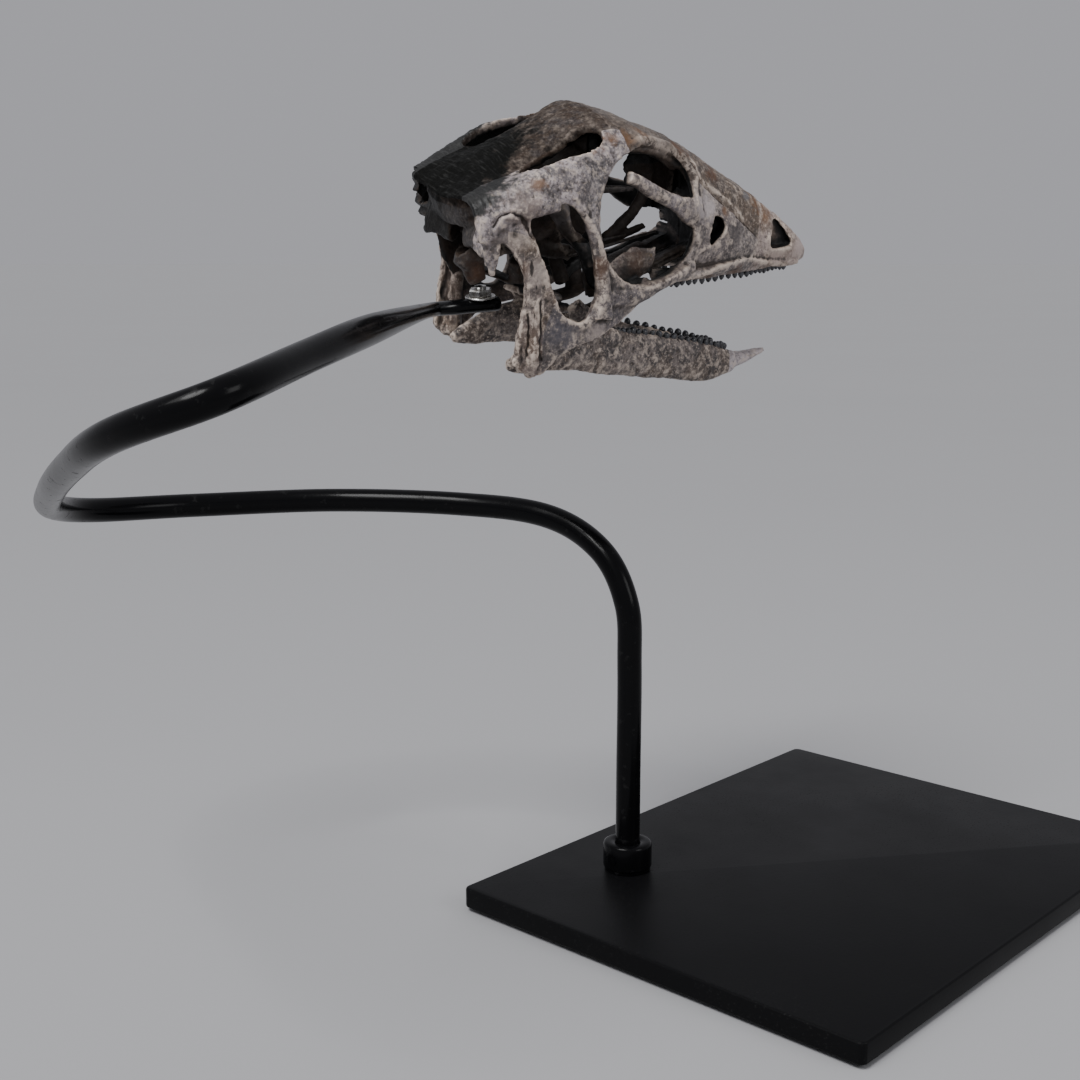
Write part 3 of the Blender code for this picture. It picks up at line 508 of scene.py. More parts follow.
# A thin plate beside the brain case, which the fossil has kept only on its left
LEFT_FLAP = ((7, 19, 52, 6, 1.8), (6.5, 20, 41, 5.6, 1.5), (7.5, 20, 31, 4.4, 1.3), (9, 20, 24.5, 2.2, 0.8))
# The roof of the left eye opening, inside its upper edge. The right one is its mirror image.
EYE_ROOF = ((50, 13, 75.5, 3.4, 2), (62, 15.5, 71, 3.4, 2), (74, 13.5, 69, 3.2, 2), (87, 10, 61.5, 3, 2))
# The plate across the back of the skull, above the hole for the spinal cord
OCCIPUT = (
    (2, -24, 55, 2.6, 6), (-1, -12, 55, 2.6, 7), (-1.5, 0, 55, 2.8, 8), (-1, 12, 55, 2.6, 7),
    (2, 24, 55, 2.6, 6),
)
# Splinters on each side of the broken back edge of the roof: how many, from where to where they start,
# and how long they are on the left and on the right
SPLINTERS, SPLINTER_FROM, SPLINTER_TO = 30, Vector((-3, 28, 61)), Vector((-2.4, 33, 46))
SPLINTER_LENGTHS, SPLINTER_SEED = ((1, 2.0), (-1, 1.3)), 11


def object_from(name, bm):
    """A working object, still in millimetres."""
    mesh = bpy.data.meshes.new(name)
    bm.to_mesh(mesh)
    bm.free()
    thing = bpy.data.objects.new(name, mesh)
    bpy.context.scene.collection.objects.link(thing)
    return thing


def settle(thing):
    """Makes the evaluated mesh the object's own, with no modifiers left."""
    graph = bpy.context.evaluated_depsgraph_get()
    mesh = bpy.data.meshes.new_from_object(thing.evaluated_get(graph))
    thing.modifiers.clear()
    old = thing.data
    thing.data = mesh
    bpy.data.meshes.remove(old)


def boolean(thing, bm, operation, solver="EXACT"):
    """Cuts a solid from the object, joins it on, or keeps what both hold."""
    other = object_from("cutter", bm)
    change = thing.modifiers.new("change", "BOOLEAN")
    change.object, change.operation, change.solver = other, operation, solver
    settle(thing)
    bpy.data.objects.remove(other)


def outer_skull():
    """Rings of points on the outer skull, from its back to its tip."""
    along = smooth_line([[x] + [v for pair in half for v in pair] for x, *half in SECTIONS], ROWS)
    grid = np.empty((ROWS, COLUMNS, 3))
    for line, row in zip(grid, along):
        half = row[1:].reshape(-1, 2)
        line[:, 0] = row[0]
        line[:, 1:] = smooth_line(np.vstack([half[:0:-1] * (-1, 1), half]), COLUMNS)
    return grid


def inner_skull(grid):
    """The room inside the skull: the outer skull drawn in by the shell, open behind and below."""
    out = np.cross(np.gradient(grid, axis=1), np.gradient(grid, axis=0))
    out /= np.linalg.norm(out, axis=2, keepdims=True)
    out *= np.sign(out[:, COLUMNS // 2, 2])[:, None, None]
    inner = (grid - out * SHELL)[grid[:, 0, 0] < BRAIN_ROOM_FRONT]
    inner[0, :, 0] = WELL_BEHIND
    below = inner[:, [0, -1]] * (1, 1, 0) + (0, 0, WELL_BELOW)
    return np.concatenate([below[:, :1], inner, below[:, 1:]], axis=1)


def prism(outline, low, high):
    """A solid with an outline seen from the side, between two places across the skull."""
    return loft([[(a, depth, b) for a, b in outline] for depth in (low, high)])


def both_sides(bm):
    """The solid and its copy on the animal's other side."""
    other = bm.copy()
    bmesh.ops.scale(other, vec=(1, -1, 1), verts=other.verts)
    bmesh.ops.reverse_faces(other, faces=other.faces)
    return [bm, other]


def limb(points, wide_axis=(0, 1, 0), samples=40, sides=28):
    """A rounded bar or plate through a few points."""
    return loft(rings_along(smooth_line(points, samples), sides, wide_axis))


def shell_with_openings():
    """The outer bones as one shell, with the openings for eyes, cheeks, nose and roof."""
    grid = outer_skull()
    shell = object_from("shell", loft(grid))
    boolean(shell, loft(inner_skull(grid)), "DIFFERENCE")
    for outline, inner in SIDE_OPENINGS:
        for bm in both_sides(prism(smooth_line(outline, OPENING_POINTS, closed=True), inner, CLEAR)):
            boolean(shell, bm, "DIFFERENCE")
    boolean(shell, prism(UNDER_CHEEK, -CLEAR, CLEAR), "DIFFERENCE")
    for outline in (LEFT_ROOF_OPENING, RIGHT_ROOF_OPENING):
        seen_from_above = smooth_line(outline, ROOF_OPENING_POINTS, closed=True)
        boolean(shell, loft([[(x, y, z) for x, y in seen_from_above] for z in ROOF_CUT]), "DIFFERENCE")
    bm = bmesh.new()
    bm.from_mesh(shell.data)
    bpy.data.objects.remove(shell)
    return bm


def splinters():
    """Thin points of broken bone on the back edge, longer on the animal's left."""
    chance = random.Random(SPLINTER_SEED)
    made = []
    for side, reach in SPLINTER_LENGTHS:
        for k in range(SPLINTERS):
            root = SPLINTER_FROM.lerp(SPLINTER_TO, k / (SPLINTERS - 1))
            aim = Vector((-1, chance.uniform(-0.3, 0.3), chance.uniform(-1.6, -0.4))).normalized()
            tip = root + aim * reach * chance.uniform(0.5, 1.2)
            start, thick = root - aim * 1.5, chance.uniform(0.6, 1.0)
            rows = [(*start, thick, thick), (*root, thick * 0.8, thick), (*tip, 0.3, 0.35)]
            rows = [(x, y * side, z, wide, high) for x, y, z, wide, high in rows]
            made.append(limb(rows, samples=5, sides=8))
    return made


def fuse(name, forms):
    """Blends overlapping forms into one rounded body."""
    thing = object_from(name, gather(forms))
    blend = thing.modifiers.new("blend", "REMESH")
    blend.mode, blend.voxel_size = "VOXEL", GRAIN
    rub = thing.modifiers.new("rub", "SMOOTH")
    rub.iterations = SOFTENING
    settle(thing)
    return thing


def lean(thing):
    """Tips the roof to one side, as the old bone has been pressed."""
    for vert in thing.data.vertices:
        x, y, z = vert.co
        high = min(1, max(0, (z - LEAN_FROM) / (LEAN_FULL - LEAN_FROM)))
        back = min(1, max(0, (LEAN_ENDS - x) / (LEAN_ENDS - LEAN_FULL_BEHIND)))
        vert.co.z += LEAN * y * high * back


forms = [shell_with_openings(), limb(OCCIPUT, wide_axis=(1, 0, 0)), limb(LEFT_FLAP, wide_axis=(1, 0, 0))]
forms += splinters() + both_sides(limb(EYE_ROOF))
forms += [limb(points) for points in MIDDLE_BARS.values()]
for points in LEFT_BARS.values():
    forms += both_sides(limb(points))
skull = fuse("skull", forms)
lean(skull)
hole = bmesh.new()
hole_line = Matrix.Translation(CORD_HOLE_AT) @ Matrix.Rotation(math.pi / 2, 4, "Y")
bmesh.ops.create_cone(
    hole, cap_ends=True, segments=40, radius1=CORD_HOLE_RADIUS, radius2=CORD_HOLE_RADIUS,
    depth=2 * CORD_HOLE_DEPTH, matrix=hole_line,
)
boolean(skull, hole, "DIFFERENCE", "MANIFOLD")
notch = prism(smooth_line(LEFT_NOTCH, NOTCH_POINTS, closed=True), LEFT_NOTCH_FROM, CLEAR)
boolean(skull, notch, "DIFFERENCE", "MANIFOLD")
boolean(skull, prism(LEFT_BREAK, LEFT_BREAK_FROM, CLEAR), "DIFFERENCE", "MANIFOLD")

# The cast keeps the fossil's surface: lumps and pits, ridges, seams between the bones, rims that are
# chipped, and a back like bark. Wear, seams and shade are kept as numbers on the mesh for the paint, which
# paints the shade in.
LUMPS = ((13.0, 0.42, 0), (4.4, 0.26, 31), (1.8, 0.13, 57))  # size, height and place of each kind of noise
CHIP_SIZE, CHIP_DEPTH = 2.1, 1.0  # chips along the rims
# The bark lies behind, below and outside of these places, and the ribs of the roof behind and above them
BARK_BEHIND, BARK_BELOW, BARK_OUTSIDE, BARK_SIZE, BARK_DEPTH = 16, 44, 26, 1.6, 0.6
RIBS_BEHIND, RIBS_ABOVE, RIBS_SIZE, RIBS_DEPTH = 30, 46, 1.1, 0.22
SHADE_RAYS, SHADE_REACH, SHADE_START, SHADE_GRAZE = 20, 75.0, 0.4, 0.15
# Lines seen from the side, as X and Z, with their half breadth and their height, which is less than 0 in
# a groove. The last number is how light the paint is on them.
LINES = (
    (((85.5, 20.3), (95, 21.3), (106.3, 22.8), (117.8, 22.8), (124, 21.8), (131, 19.5)), 1.0, 0.8, 1.0),
    (((30, 57.8), (34, 52.2), (38, 44.7), (40.2, 39), (41.9, 34.6), (45.5, 29.4)), 1.1, 0.7, 0.8),
    (((45.5, 29.4), (50.3, 25.7), (60.2, 22), (71.4, 22), (82.6, 24.6), (91.6, 28.6)), 1.2, 0.35, 0.7),
    (((92.4, 56.5), (90.8, 49.6), (90, 44.2), (89, 40.7), (92, 32)), 1.5, 0.5, 0.8),
    (((66, 74.2), (77, 70.4), (87, 65), (92.4, 57)), 1.7, 0.3, 0.6),
    (((104, 39.7), (106.5, 36), (102.4, 33), (96.6, 31), (91.4, 30)), 0.9, 0.5, 1.0),
    (((126.1, 30.1), (124.8, 27.6), (123.8, 25.8), (122.4, 23.2)), 0.8, 0.25, 0.9),
    (((93, 62.7), (96.6, 55.2), (104.9, 50.4), (111.4, 45.1), (118, 39)), 0.9, 0.3, 1.0),
    (((117.5, 50.2), (117.2, 48.9), (116.4, 45.5)), 0.7, 0.15, 0.7),
    (((133.6, 29), (133.4, 25.5), (137, 23.4), (144, 22.9)), 1.1, 0.3, 0.7),
    (((12.6, 45.9), (15, 40.5), (16.6, 33.3), (17.5, 26.2)), 1.5, 0.5, 0.9),
    (((11.7, 23.2), (11.7, 14.2), (10.5, 6.9), (11.2, 1.3)), 1.2, 0.7, 0.6),
    (((26, 15.8), (31, 12.8), (36.6, 15), (39.6, 21.4), (40.3, 28.6)), 1.5, 0.5, 1.0),
    (
        ((-2.2, 51.5), (-1.1, 53.6), (0.5, 55.4), (4, 56.3), (7.6, 54.6), (10.4, 51.6), (12.6, 47)),
        0.7, -1.2, 0,
    ),
    (((14.2, 24), (14, 15), (13.2, 8), (14, 3)), 0.5, -0.8, 0),
    (((9.4, 20), (9.4, 12), (8.8, 5)), 0.4, -0.6, 0),
)


def points_of(mesh):
    """A mesh's points and outward directions as rows of numbers."""
    at, out = np.empty(len(mesh.vertices) * 3), np.empty(len(mesh.vertices) * 3)
    mesh.vertices.foreach_get("co", at)
    mesh.vertex_normals.foreach_get("vector", out)
    return at.reshape(-1, 3), out.reshape(-1, 3)


def grain_of(at, size, start=0.0, stretch=(1, 1, 1)):
    """Cloudy noise from about -1 to 1, with lumps of a size that may be longer one way."""
    return np.array([noise.fractal(p, 1.0, 2.0, 2) for p in (at / size / stretch + start).tolist()])


def rise(value, low, high):
    """Smooth rise from 0 to 1 while the value goes from low to high."""
    t = np.clip((value - low) / (high - low), 0, 1)
    return t * t * (3 - 2 * t)


def away_from(at, line):
    """How far each point is, seen from the side, from a line of X and Z."""
    flat, nearest = at[:, [0, 2]], np.full(len(at), 1e9)
    for a, b in zip(np.array(line), np.array(line[1:])):
        along = np.clip((flat - a) @ (b - a) / ((b - a) @ (b - a)), 0, 1)
        nearest = np.minimum(nearest, np.linalg.norm(flat - a - along[:, None] * (b - a), axis=1))
    return nearest


def soften(values, mesh, times):
    """Values, or rows of them, each evened out with their neighbours a number of times."""
    pairs = np.empty(len(mesh.edges) * 2, int)
    mesh.edges.foreach_get("vertices", pairs)
    a, b = pairs.reshape(-1, 2).T
    count = np.bincount(a, minlength=len(values)) + np.bincount(b, minlength=len(values))
    columns = values.reshape(len(values), -1).T.copy()
    for _ in range(times):
        for column in columns:
            near = np.bincount(a, column[b], len(column)) + np.bincount(b, column[a], len(column))
            column[:] = 0.5 * column + 0.5 * near / count
    return columns.T.reshape(values.shape)


def edges_of(mesh, times):
    """How far each point stands out from its softened surroundings: above 0 on rims, below in hollows."""
    at, out = points_of(mesh)
    return ((at - soften(at, mesh, times)) * out).sum(1)


def drawn_lines(at, out, lines):
    """The height of the drawn ridges and grooves at each point, and how light the paint is there."""
    height, light = np.zeros(len(at)), np.zeros(len(at))
    outside = rise(out[:, 1] * np.sign(at[:, 1]), 0.0, 0.35)
    shaky = at + np.stack([grain_of(at, 2.5, 5), np.zeros(len(at)), grain_of(at, 2.5, 9)], 1) * 0.5
    for line, breadth, lift, paint in lines:
        here = np.exp(-((away_from(shaky, line) / breadth) ** 2)) * outside
        height += lift * here
        light = np.maximum(light, paint * here)
    return height, light


def weathered(mesh, lines, bark):
    """Moves a bone's points in and out as the fossil's surface goes. Gives how light the paint is."""
    at, out = points_of(mesh)
    height, light = drawn_lines(at, out, lines)
    for size, lift, start in LUMPS:
        height += lift * grain_of(at, size, start)
    rims = rise(edges_of(mesh, 18), 0.25, 0.7)
    height -= rims * CHIP_DEPTH * rise(grain_of(at, CHIP_SIZE, 77), 0.1, 0.5)
    if bark:
        rough = rise(BARK_BEHIND - at[:, 0], 0, 4) * rise(BARK_BELOW - at[:, 2], 0, 8)
        rough *= rise(abs(at[:, 1]) - BARK_OUTSIDE, 0, 4)
        height += rough * BARK_DEPTH * grain_of(at, BARK_SIZE, 13, stretch=(1, 1, 4))
        ribs = rise(RIBS_BEHIND - at[:, 0], 0, 8) * rise(at[:, 2], RIBS_ABOVE, RIBS_ABOVE + 14)
        height += ribs * RIBS_DEPTH * grain_of(at, RIBS_SIZE, 3, stretch=(1, 9, 9))
    at += out * height[:, None]
    mesh.vertices.foreach_set("co", at.ravel())
    mesh.update()
    return light


def shade_of(mesh):
    """How much of the open room round each point is closed off by the bone, from 0 to 1."""
    at, out = points_of(mesh)
    faces = [tuple(face.vertices) for face in mesh.polygons]
    tree = BVHTree.FromPolygons(at.tolist(), faces)
    turn = math.pi * (3 - math.sqrt(5))
    aims = []
    for k in range(SHADE_RAYS):
        up = 1 - 2 * (k + 0.5) / SHADE_RAYS
        flat = math.sqrt(1 - up * up)
        aims.append(Vector((flat * math.cos(turn * k), flat * math.sin(turn * k), up)))
    shade = np.zeros(len(at))
    for i, (p, n) in enumerate(zip(at.tolist(), out.tolist())):
        start = Vector(p) + Vector(n) * SHADE_START
        open_aims = [aim for aim in aims if aim.dot(Vector(n)) > SHADE_GRAZE]
        closed = sum(tree.ray_cast(start, aim, SHADE_REACH)[0] is not None for aim in open_aims)
        shade[i] = closed / max(1, len(open_aims))
    return soften(shade, mesh, 4)


class WearAndShade:
    """What the paint needs to know about each point of a cast, its wear and the shade to paint, looked up
    later from its bones.
    """

    def __init__(self, mesh, light):
        self.marks = {"light": light, "rims_and_hollows": edges_of(mesh, 10), "shade": shade_of(mesh)}
        self.tree = KDTree(len(mesh.vertices))
        for i, vert in enumerate(mesh.vertices):
            self.tree.insert(vert.co, i)
        self.tree.balance()

    def mark(self, mesh):
        """Writes the marks of the nearest points of the cast on a bone's mesh."""
        nearest = [self.tree.find(vert.co)[1] for vert in mesh.vertices]
        for name, values in self.marks.items():
            mesh.attributes.new(name, "FLOAT", "POINT").data.foreach_set("value", values[nearest])


skull_wear_and_shade = WearAndShade(skull.data, weathered(skull.data, LINES, bark=True))

# The palpebrals are the two short bones that cross the eye openings from the front. The ends broke off
# and were glued back on. From here on the bones are parted from the cast one by one along their seams.
RAGGED_STEP, RAGGED_BY, RAGGED_SIZE = 1.3, 0.5, 3  # how a seam wanders
SMALLEST = 400  # a loose bit with fewer points than this is dropped
BONE_SHARP = 60
PALPEBRAL_CELL = ((52, 56), (52, 67), (62, 66.5), (76, 58.5), (86.5, 53.5), (86.5, 38), (80, 39), (66, 46))
# From where to where across the skull each kind of bone is cut out
SIDE, OUTSIDE_PALATE, OUTSIDE_ROOF = (0.15, CLEAR), (15.0, CLEAR), (20.3, CLEAR)
ROOF, PALATE, ACROSS = (-20.0, 20.0), (-14.7, 14.7), (-CLEAR, CLEAR)
SIDES = ((-1, "right"), (1, "left"))
RESIN = {"IOR": 1.4, "Coat_Weight": 0.12, "Coat_Roughness": 0.3, "Coat_IOR": 1.4}
# Umber: stains and painted shade. Dirt: dirt and painted shade in hollows. Pitch: only painted shade.
CREAM, UMBER_AND_SHADE = (0.66, 0.55, 0.46), (0.06, 0.038, 0.026)
DIRT_AND_SHADE, PAINTED_SHADE_BLACK = (0.012, 0.009, 0.008), (0.0025, 0.0025, 0.0025)
OCHRE, RUST, SMOKE = (0.16, 0.075, 0.028), (0.10, 0.045, 0.02), (0.045, 0.042, 0.046)
CHAR, ASH = (0.0035, 0.0035, 0.003), (0.020, 0.020, 0.019)
GREY_BONE, LILAC_BONE = (0.20, 0.17, 0.16), (0.30, 0.26, 0.265)
BROWN_BONE = (0.14, 0.10, 0.075)
BROAD, BLOTCH, MOTTLE, FLECK, SPECK = 14, 6, 2.6, 1.0, 0.4  # sizes of the patterns in the paint
# The char starts along a line in the side view: a point on it as X and Z, and the way it faces
CHAR_AT, CHAR_FACES = (17, 69), (-0.526, 0.85)


def ragged(outline):
    """An outline whose straight sides wander a little, like the seam between two bones."""
    made = []
    for a, b in zip(outline, outline[1:] + outline[:1]):
        a, b = Vector(a), Vector(b)
        across = Vector((a.y - b.y, b.x - a.x)).normalized()
        count = max(1, round((b - a).length / RAGGED_STEP))
        for k in range(count):
            p = a.lerp(b, k / count)
            place = (p.x / RAGGED_SIZE, p.y / RAGGED_SIZE, 0.5)
            made.append(p + across * RAGGED_BY * noise.fractal(place, 1.0, 2.0, 3))
    return made


def surfaces(bm):
    """Lists of vertices, one for each separate surface."""
    left, found = set(bm.verts), []
    while left:
        part = [left.pop()]
        for vert in part:
            near = {other for edge in vert.link_edges for other in edge.verts} & left
            left -= near
            part.extend(near)
        found.append(part)
    return found


def drop_crumbs(thing):
    """Takes away the small loose bits that cutting leaves."""
    bm = bmesh.new()
    bm.from_mesh(thing.data)
    for part in sorted(surfaces(bm), key=len)[:-1]:
        if len(part) < SMALLEST:
            bmesh.ops.delete(bm, geom=part, context="VERTS")
    bm.to_mesh(thing.data)
    bm.free()


def finished_bone(bone, wear_and_shade, material):
    """Marks a bone's wear and painted shade, moves it to its place in the world and gives it its paint."""
    drop_crumbs(bone)
    wear_and_shade.mark(bone.data)
    bone.data.transform(SKULL_TO_METRES)
    bone.data.shade_smooth()
    bone.data.set_sharp_from_angle(angle=math.radians(BONE_SHARP))
    bone.data.materials.clear()
    bone.data.materials.append(material)
    return bone


def part_bone(whole, wear_and_shade, name, cell, across, material, side=1):
    """Parts the bone inside a cell from the cast, and finishes it."""
    low, high = sorted(side * y for y in across)
    bone = bpy.data.objects.new(name, whole.data.copy())
    bpy.context.scene.collection.objects.link(bone)
    outline = ragged(cell)
    boolean(bone, prism(outline, low, high), "INTERSECT", "MANIFOLD")
    boolean(whole, prism(outline, low, high), "DIFFERENCE", "MANIFOLD")
    return finished_bone(bone, wear_and_shade, material)


def bone_paint(name, ground, patch, dark=0.4, cream=0.5, burnt=0.0, deep_shade=1.0, spots=(), **resin):
    """Resin cast painted like old bone: mottled ground, dark blotches, cream flecks, worn rims, dirt,
    painted shade.
    """
    paint = Finish(name, **{**RESIN, **resin})
    turned_back = {"Vector": paint.at, "Location": SKULL_TO_METRES.translation, "Scale": (MM, MM, MM)}
    turned_back["Rotation"] = SKULL_TO_WORLD.to_euler()
    at = paint.node("ShaderNodeMapping", {"vector_type": "TEXTURE"}, turned_back)
    x, y, z = (paint.node("ShaderNodeSeparateXYZ", {}, {"Vector": at}, out=k) for k in range(3))
    rims_and_hollows, shade, light = (
        paint.node("ShaderNodeAttribute", {"attribute_name": mark}, out="Fac")
        for mark in ("rims_and_hollows", "shade", "light")
    )
    broad, blotch = paint.cloud(BROAD, 4, at), paint.cloud(BLOTCH, 5, at)
    mottle, fleck, speck = paint.cloud(MOTTLE, 7, at), paint.cloud(FLECK, 4, at), paint.cloud(SPECK, 2, at)
    # Fields of the two main tones, with blotches and flecks
    colour = paint.mix(paint.ramp(broad, 0.42, 0.58), ground, patch)
    colour = paint.mix(paint.ramp(blotch, 0.48, 0.58) * dark, colour, SMOKE)
    colour = paint.mix(paint.ramp(mottle, 0.49, 0.66) * cream, colour, CREAM)
    colour = paint.mix(paint.ramp(mottle, 0.50, 0.30) * dark, colour, UMBER_AND_SHADE)
    colour = paint.mix(paint.ramp(fleck, 0.52, 0.64) * 0.6, colour, DIRT_AND_SHADE)
    colour = paint.mix(paint.ramp(fleck, 0.45, 0.34) * cream, colour, CREAM)
    # Stains that the fossil has at certain places
    for place, radius, tint in spots:
        off = paint.node("ShaderNodeVectorMath", {"operation": "DISTANCE"}, {0: at, 1: place}, out="Value")
        spot = paint.ramp(off + (blotch - 0.5) * radius * 2 + (mottle - 0.5) * radius, radius, radius * 0.2)
        colour = paint.mix(spot * 0.75, colour, tint)
    # Cream where the bone is rubbed; dirt and painted shade where it is hollow
    rims = paint.ramp(rims_and_hollows + (mottle - 0.5) * 0.9 + (fleck - 0.5) * 0.6, 0.10, 0.34)
    colour = paint.mix(rims * cream * 1.3, colour, CREAM)
    colour = paint.mix(light * paint.ramp(mottle + (fleck - 0.5) * 0.6, 0.42, 0.54) * 0.8, colour, CREAM)
    colour = paint.mix(paint.ramp(rims_and_hollows + (fleck - 0.5) * 0.3, -0.02, -0.20) * 0.9, colour, DIRT_AND_SHADE)
    stretched = {"Vector": at, "Scale": (1.6, 0.14, 0.14)}
    streaks = paint.cloud(1, 4, paint.node("ShaderNodeMapping", {}, stretched))
    # The charred back of the roof
    if burnt:
        past = (x - CHAR_AT[0]) * CHAR_FACES[0] + (z - CHAR_AT[1]) * CHAR_FACES[1] + (blotch - 0.5) * 14
        char = paint.ramp(past, -1.5, 2.5) * paint.ramp(x + (mottle - 0.5) * 30, 42, 24)
        left_back = paint.ramp(x + (blotch - 0.5) * 16, 16, 4) * paint.ramp(y, -4, 8)
        char = 1 - (1 - char) * (1 - left_back)
        colour = paint.mix(char * burnt, colour, paint.mix(paint.ramp(streaks, 0.52, 0.68), CHAR, ASH))
    # Painted shade: brown where the bone half closes the room round a point, near black deep inside
    colour = paint.mix(paint.ramp(shade, 0.10, 0.36) * 0.5, colour, UMBER_AND_SHADE)
    colour = paint.mix(paint.ramp(shade + (mottle - 0.5) * 0.2, 0.34, 0.60) * deep_shade, colour, PAINTED_SHADE_BLACK)
    grainy = speck * 0.00006 + fleck * 0.0002 + mottle * 0.00045 + streaks * 0.00005
    return paint.lay(colour, 0.40 + fleck * 0.2 + shade * 0.2, grainy)


grey_paint = bone_paint("grey_bone", GREY_BONE, LILAC_BONE, dark=0.5, cream=0.6)
for side, word in SIDES:
    name = f"palpebral_{word}"
    spur = part_bone(skull, skull_wear_and_shade, f"{name}_bone", PALPEBRAL_CELL, OUTSIDE_PALATE, grey_paint, side)
    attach(spur, "root")
    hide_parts(name)

# The brain case is the closed box at the back, dark and barely cleaned, and its near black is partly
# painted shade. The pin holds the whole skull by it from below, and the hole for the spinal cord goes into
# it from behind.
BRAIN_CASE_CELL = (
    (-20, 18), (36, 18), (36, 38), (52, 44), (52, 75), (31, 68), (14, 62.5), (2, 57), (-20, 49),
)
# The near black ground of this paint is partly painted shade, for the bones deep inside the skull.
dark_paint = bone_paint(
    "dark_bone", (0.018, 0.013, 0.010), (0.035, 0.030, 0.028), dark=0.5, cream=0.06, burnt=0.9,
    deep_shade=0.55,
    spots=(
        ((6, -3, 31), 7, (0.11, 0.055, 0.032)), ((35, -16, 50), 8, (0.34, 0.32, 0.33)),
        ((45, -15, 34), 8, (0.34, 0.32, 0.325)), ((20, -24, 28), 7, (0.20, 0.17, 0.17)),
    ),
    IOR=1.3,
)
brain_case = part_bone(skull, skull_wear_and_shade, "brain_case_bone", BRAIN_CASE_CELL, ROOF, dark_paint)
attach(brain_case, "root")
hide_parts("brain_case")

# The palate is a lattice of thin bones between the eyes and above the mouth. It is cast with the rest of
# the skull and stained nearly black, the black partly painted shade, and it is seen only through the
# openings.
PALATE_CELL = ((36.3, 0), (90, 0), (92, 62), (36.3, 62))
palate = part_bone(skull, skull_wear_and_shade, "palate_bone", PALATE_CELL, PALATE, dark_paint)
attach(palate, "root")
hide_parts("palate")

# The premaxilla is the tip of the snout, with the nostrils, cast in one with the maxillas behind it up
# to a ragged seam. Its paint is rubbed pale and a little pink.
PREMAXILLA_CELL = ((116, 0), (126, 30), (134, 60), (175, 60), (175, 0))
tip_paint = bone_paint(
    "snout_tip_bone", (0.42, 0.34, 0.31), (0.28, 0.21, 0.17), dark=0.35, cream=0.55,
    spots=(
        ((134, -6, 39), 6, OCHRE), ((139, -6, 22), 7, (0.50, 0.40, 0.35)),
        ((152, -3, 22), 8, (0.55, 0.45, 0.42)),
    ),
)
premaxilla = part_bone(skull, skull_wear_and_shade, "premaxilla_bone", PREMAXILLA_CELL, ACROSS, tip_paint)
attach(premaxilla, "root")
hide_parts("premaxilla")

# The quadrates are the two posts that the lower jaw hangs from, cast with the cheeks and the hoods. They
# are painted brown and are rough like bark behind.
QUADRATE_CELL = (
    (-6, -16), (15, -16), (14.5, 12), (22, 27), (22, 45), (13, 47.5), (3.4, 49.5), (3.4, 36), (-6, 20),
)
post_paint = bone_paint(
    "quadrate_bone", BROWN_BONE, (0.26, 0.21, 0.19), dark=0.45, cream=0.6,
    spots=(
        ((9, -35, 36), 5, RUST), ((12, -36, 10), 10, (0.10, 0.065, 0.045)), ((8, 35, 38), 7, RUST),
        # The first pale spot below, on the right quadrate's head, is painted light where the hood's ridge
        # shades it.
        ((8, -35, 49), 7, (0.50, 0.42, 0.36)), ((15, -37, 34), 8, (0.44, 0.37, 0.33)),
        ((20, -36, 12), 7, (0.12, 0.11, 0.13)),
    ),
)
for side, word in SIDES:
    name = f"quadrate_{word}"
    quadrate = part_bone(skull, skull_wear_and_shade, f"{name}_bone", QUADRATE_CELL, OUTSIDE_ROOF, post_paint, side)
    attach(quadrate, "root")
    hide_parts(name)

# The jugals are the cheek bones under the eyes, each with a branch up behind the eye, cast with the
# bones round them. They are painted grey, with rust on the branch and a pale lower edge.
JUGAL_CELL = (
    (14, -16), (14, 12), (22, 27), (34, 40), (46, 38), (70, 34), (87.5, 34), (74, 19), (70, 2), (40, -16),
)
cheek_paint = bone_paint(
    "cheek_bone", (0.16, 0.14, 0.145), (0.20, 0.17, 0.16), dark=0.5,
    spots=(
        ((40, -34, 34), 7, RUST), ((40, 34, 34), 7, RUST), ((38, -37, 4), 11, (0.50, 0.42, 0.38)),
        ((62, -20, 29), 9, RUST), ((68, -20, 31), 3, (0.40, 0.28, 0.12)),
        ((22, -36, 12), 9, (0.09, 0.085, 0.10)),
    ),
)
for side, word in SIDES:
    name = f"jugal_{word}"
    jugal = part_bone(skull, skull_wear_and_shade, f"{name}_bone", JUGAL_CELL, OUTSIDE_PALATE, cheek_paint, side)
    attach(jugal, "root")
    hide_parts(name)

# The postorbitals and the hoods behind them make the side wall between eye, cheek and roof, cast with
# all three. The paint is the lightest lilac grey of the skull, and its back edge is burnt dark.
POSTORBITAL_CELL = ((-20, 20), (60, 20), (60, 64), (53, 95), (-20, 95))
wall_paint = bone_paint(
    "side_wall_bone", (0.25, 0.222, 0.225), (0.38, 0.33, 0.335), dark=0.65, cream=0.5, burnt=1.0,
    spots=(
        ((46, -25, 77), 5, OCHRE), ((52, -24, 76), 4, OCHRE), ((42, -28, 74), 3, OCHRE),
        ((17, -33, 64), 4, OCHRE), ((46, 25, 80), 6, OCHRE), ((10, -34, 56), 10, (0.19, 0.145, 0.125)),
        ((0, -34, 45), 7, (0.09, 0.07, 0.06)),
    ),
)
for side, word in SIDES:
    name = f"postorbital_{word}"
    wall = part_bone(skull, skull_wear_and_shade, f"{name}_bone", POSTORBITAL_CELL, OUTSIDE_ROOF, wall_paint, side)
    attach(wall, "root")
    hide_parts(name)

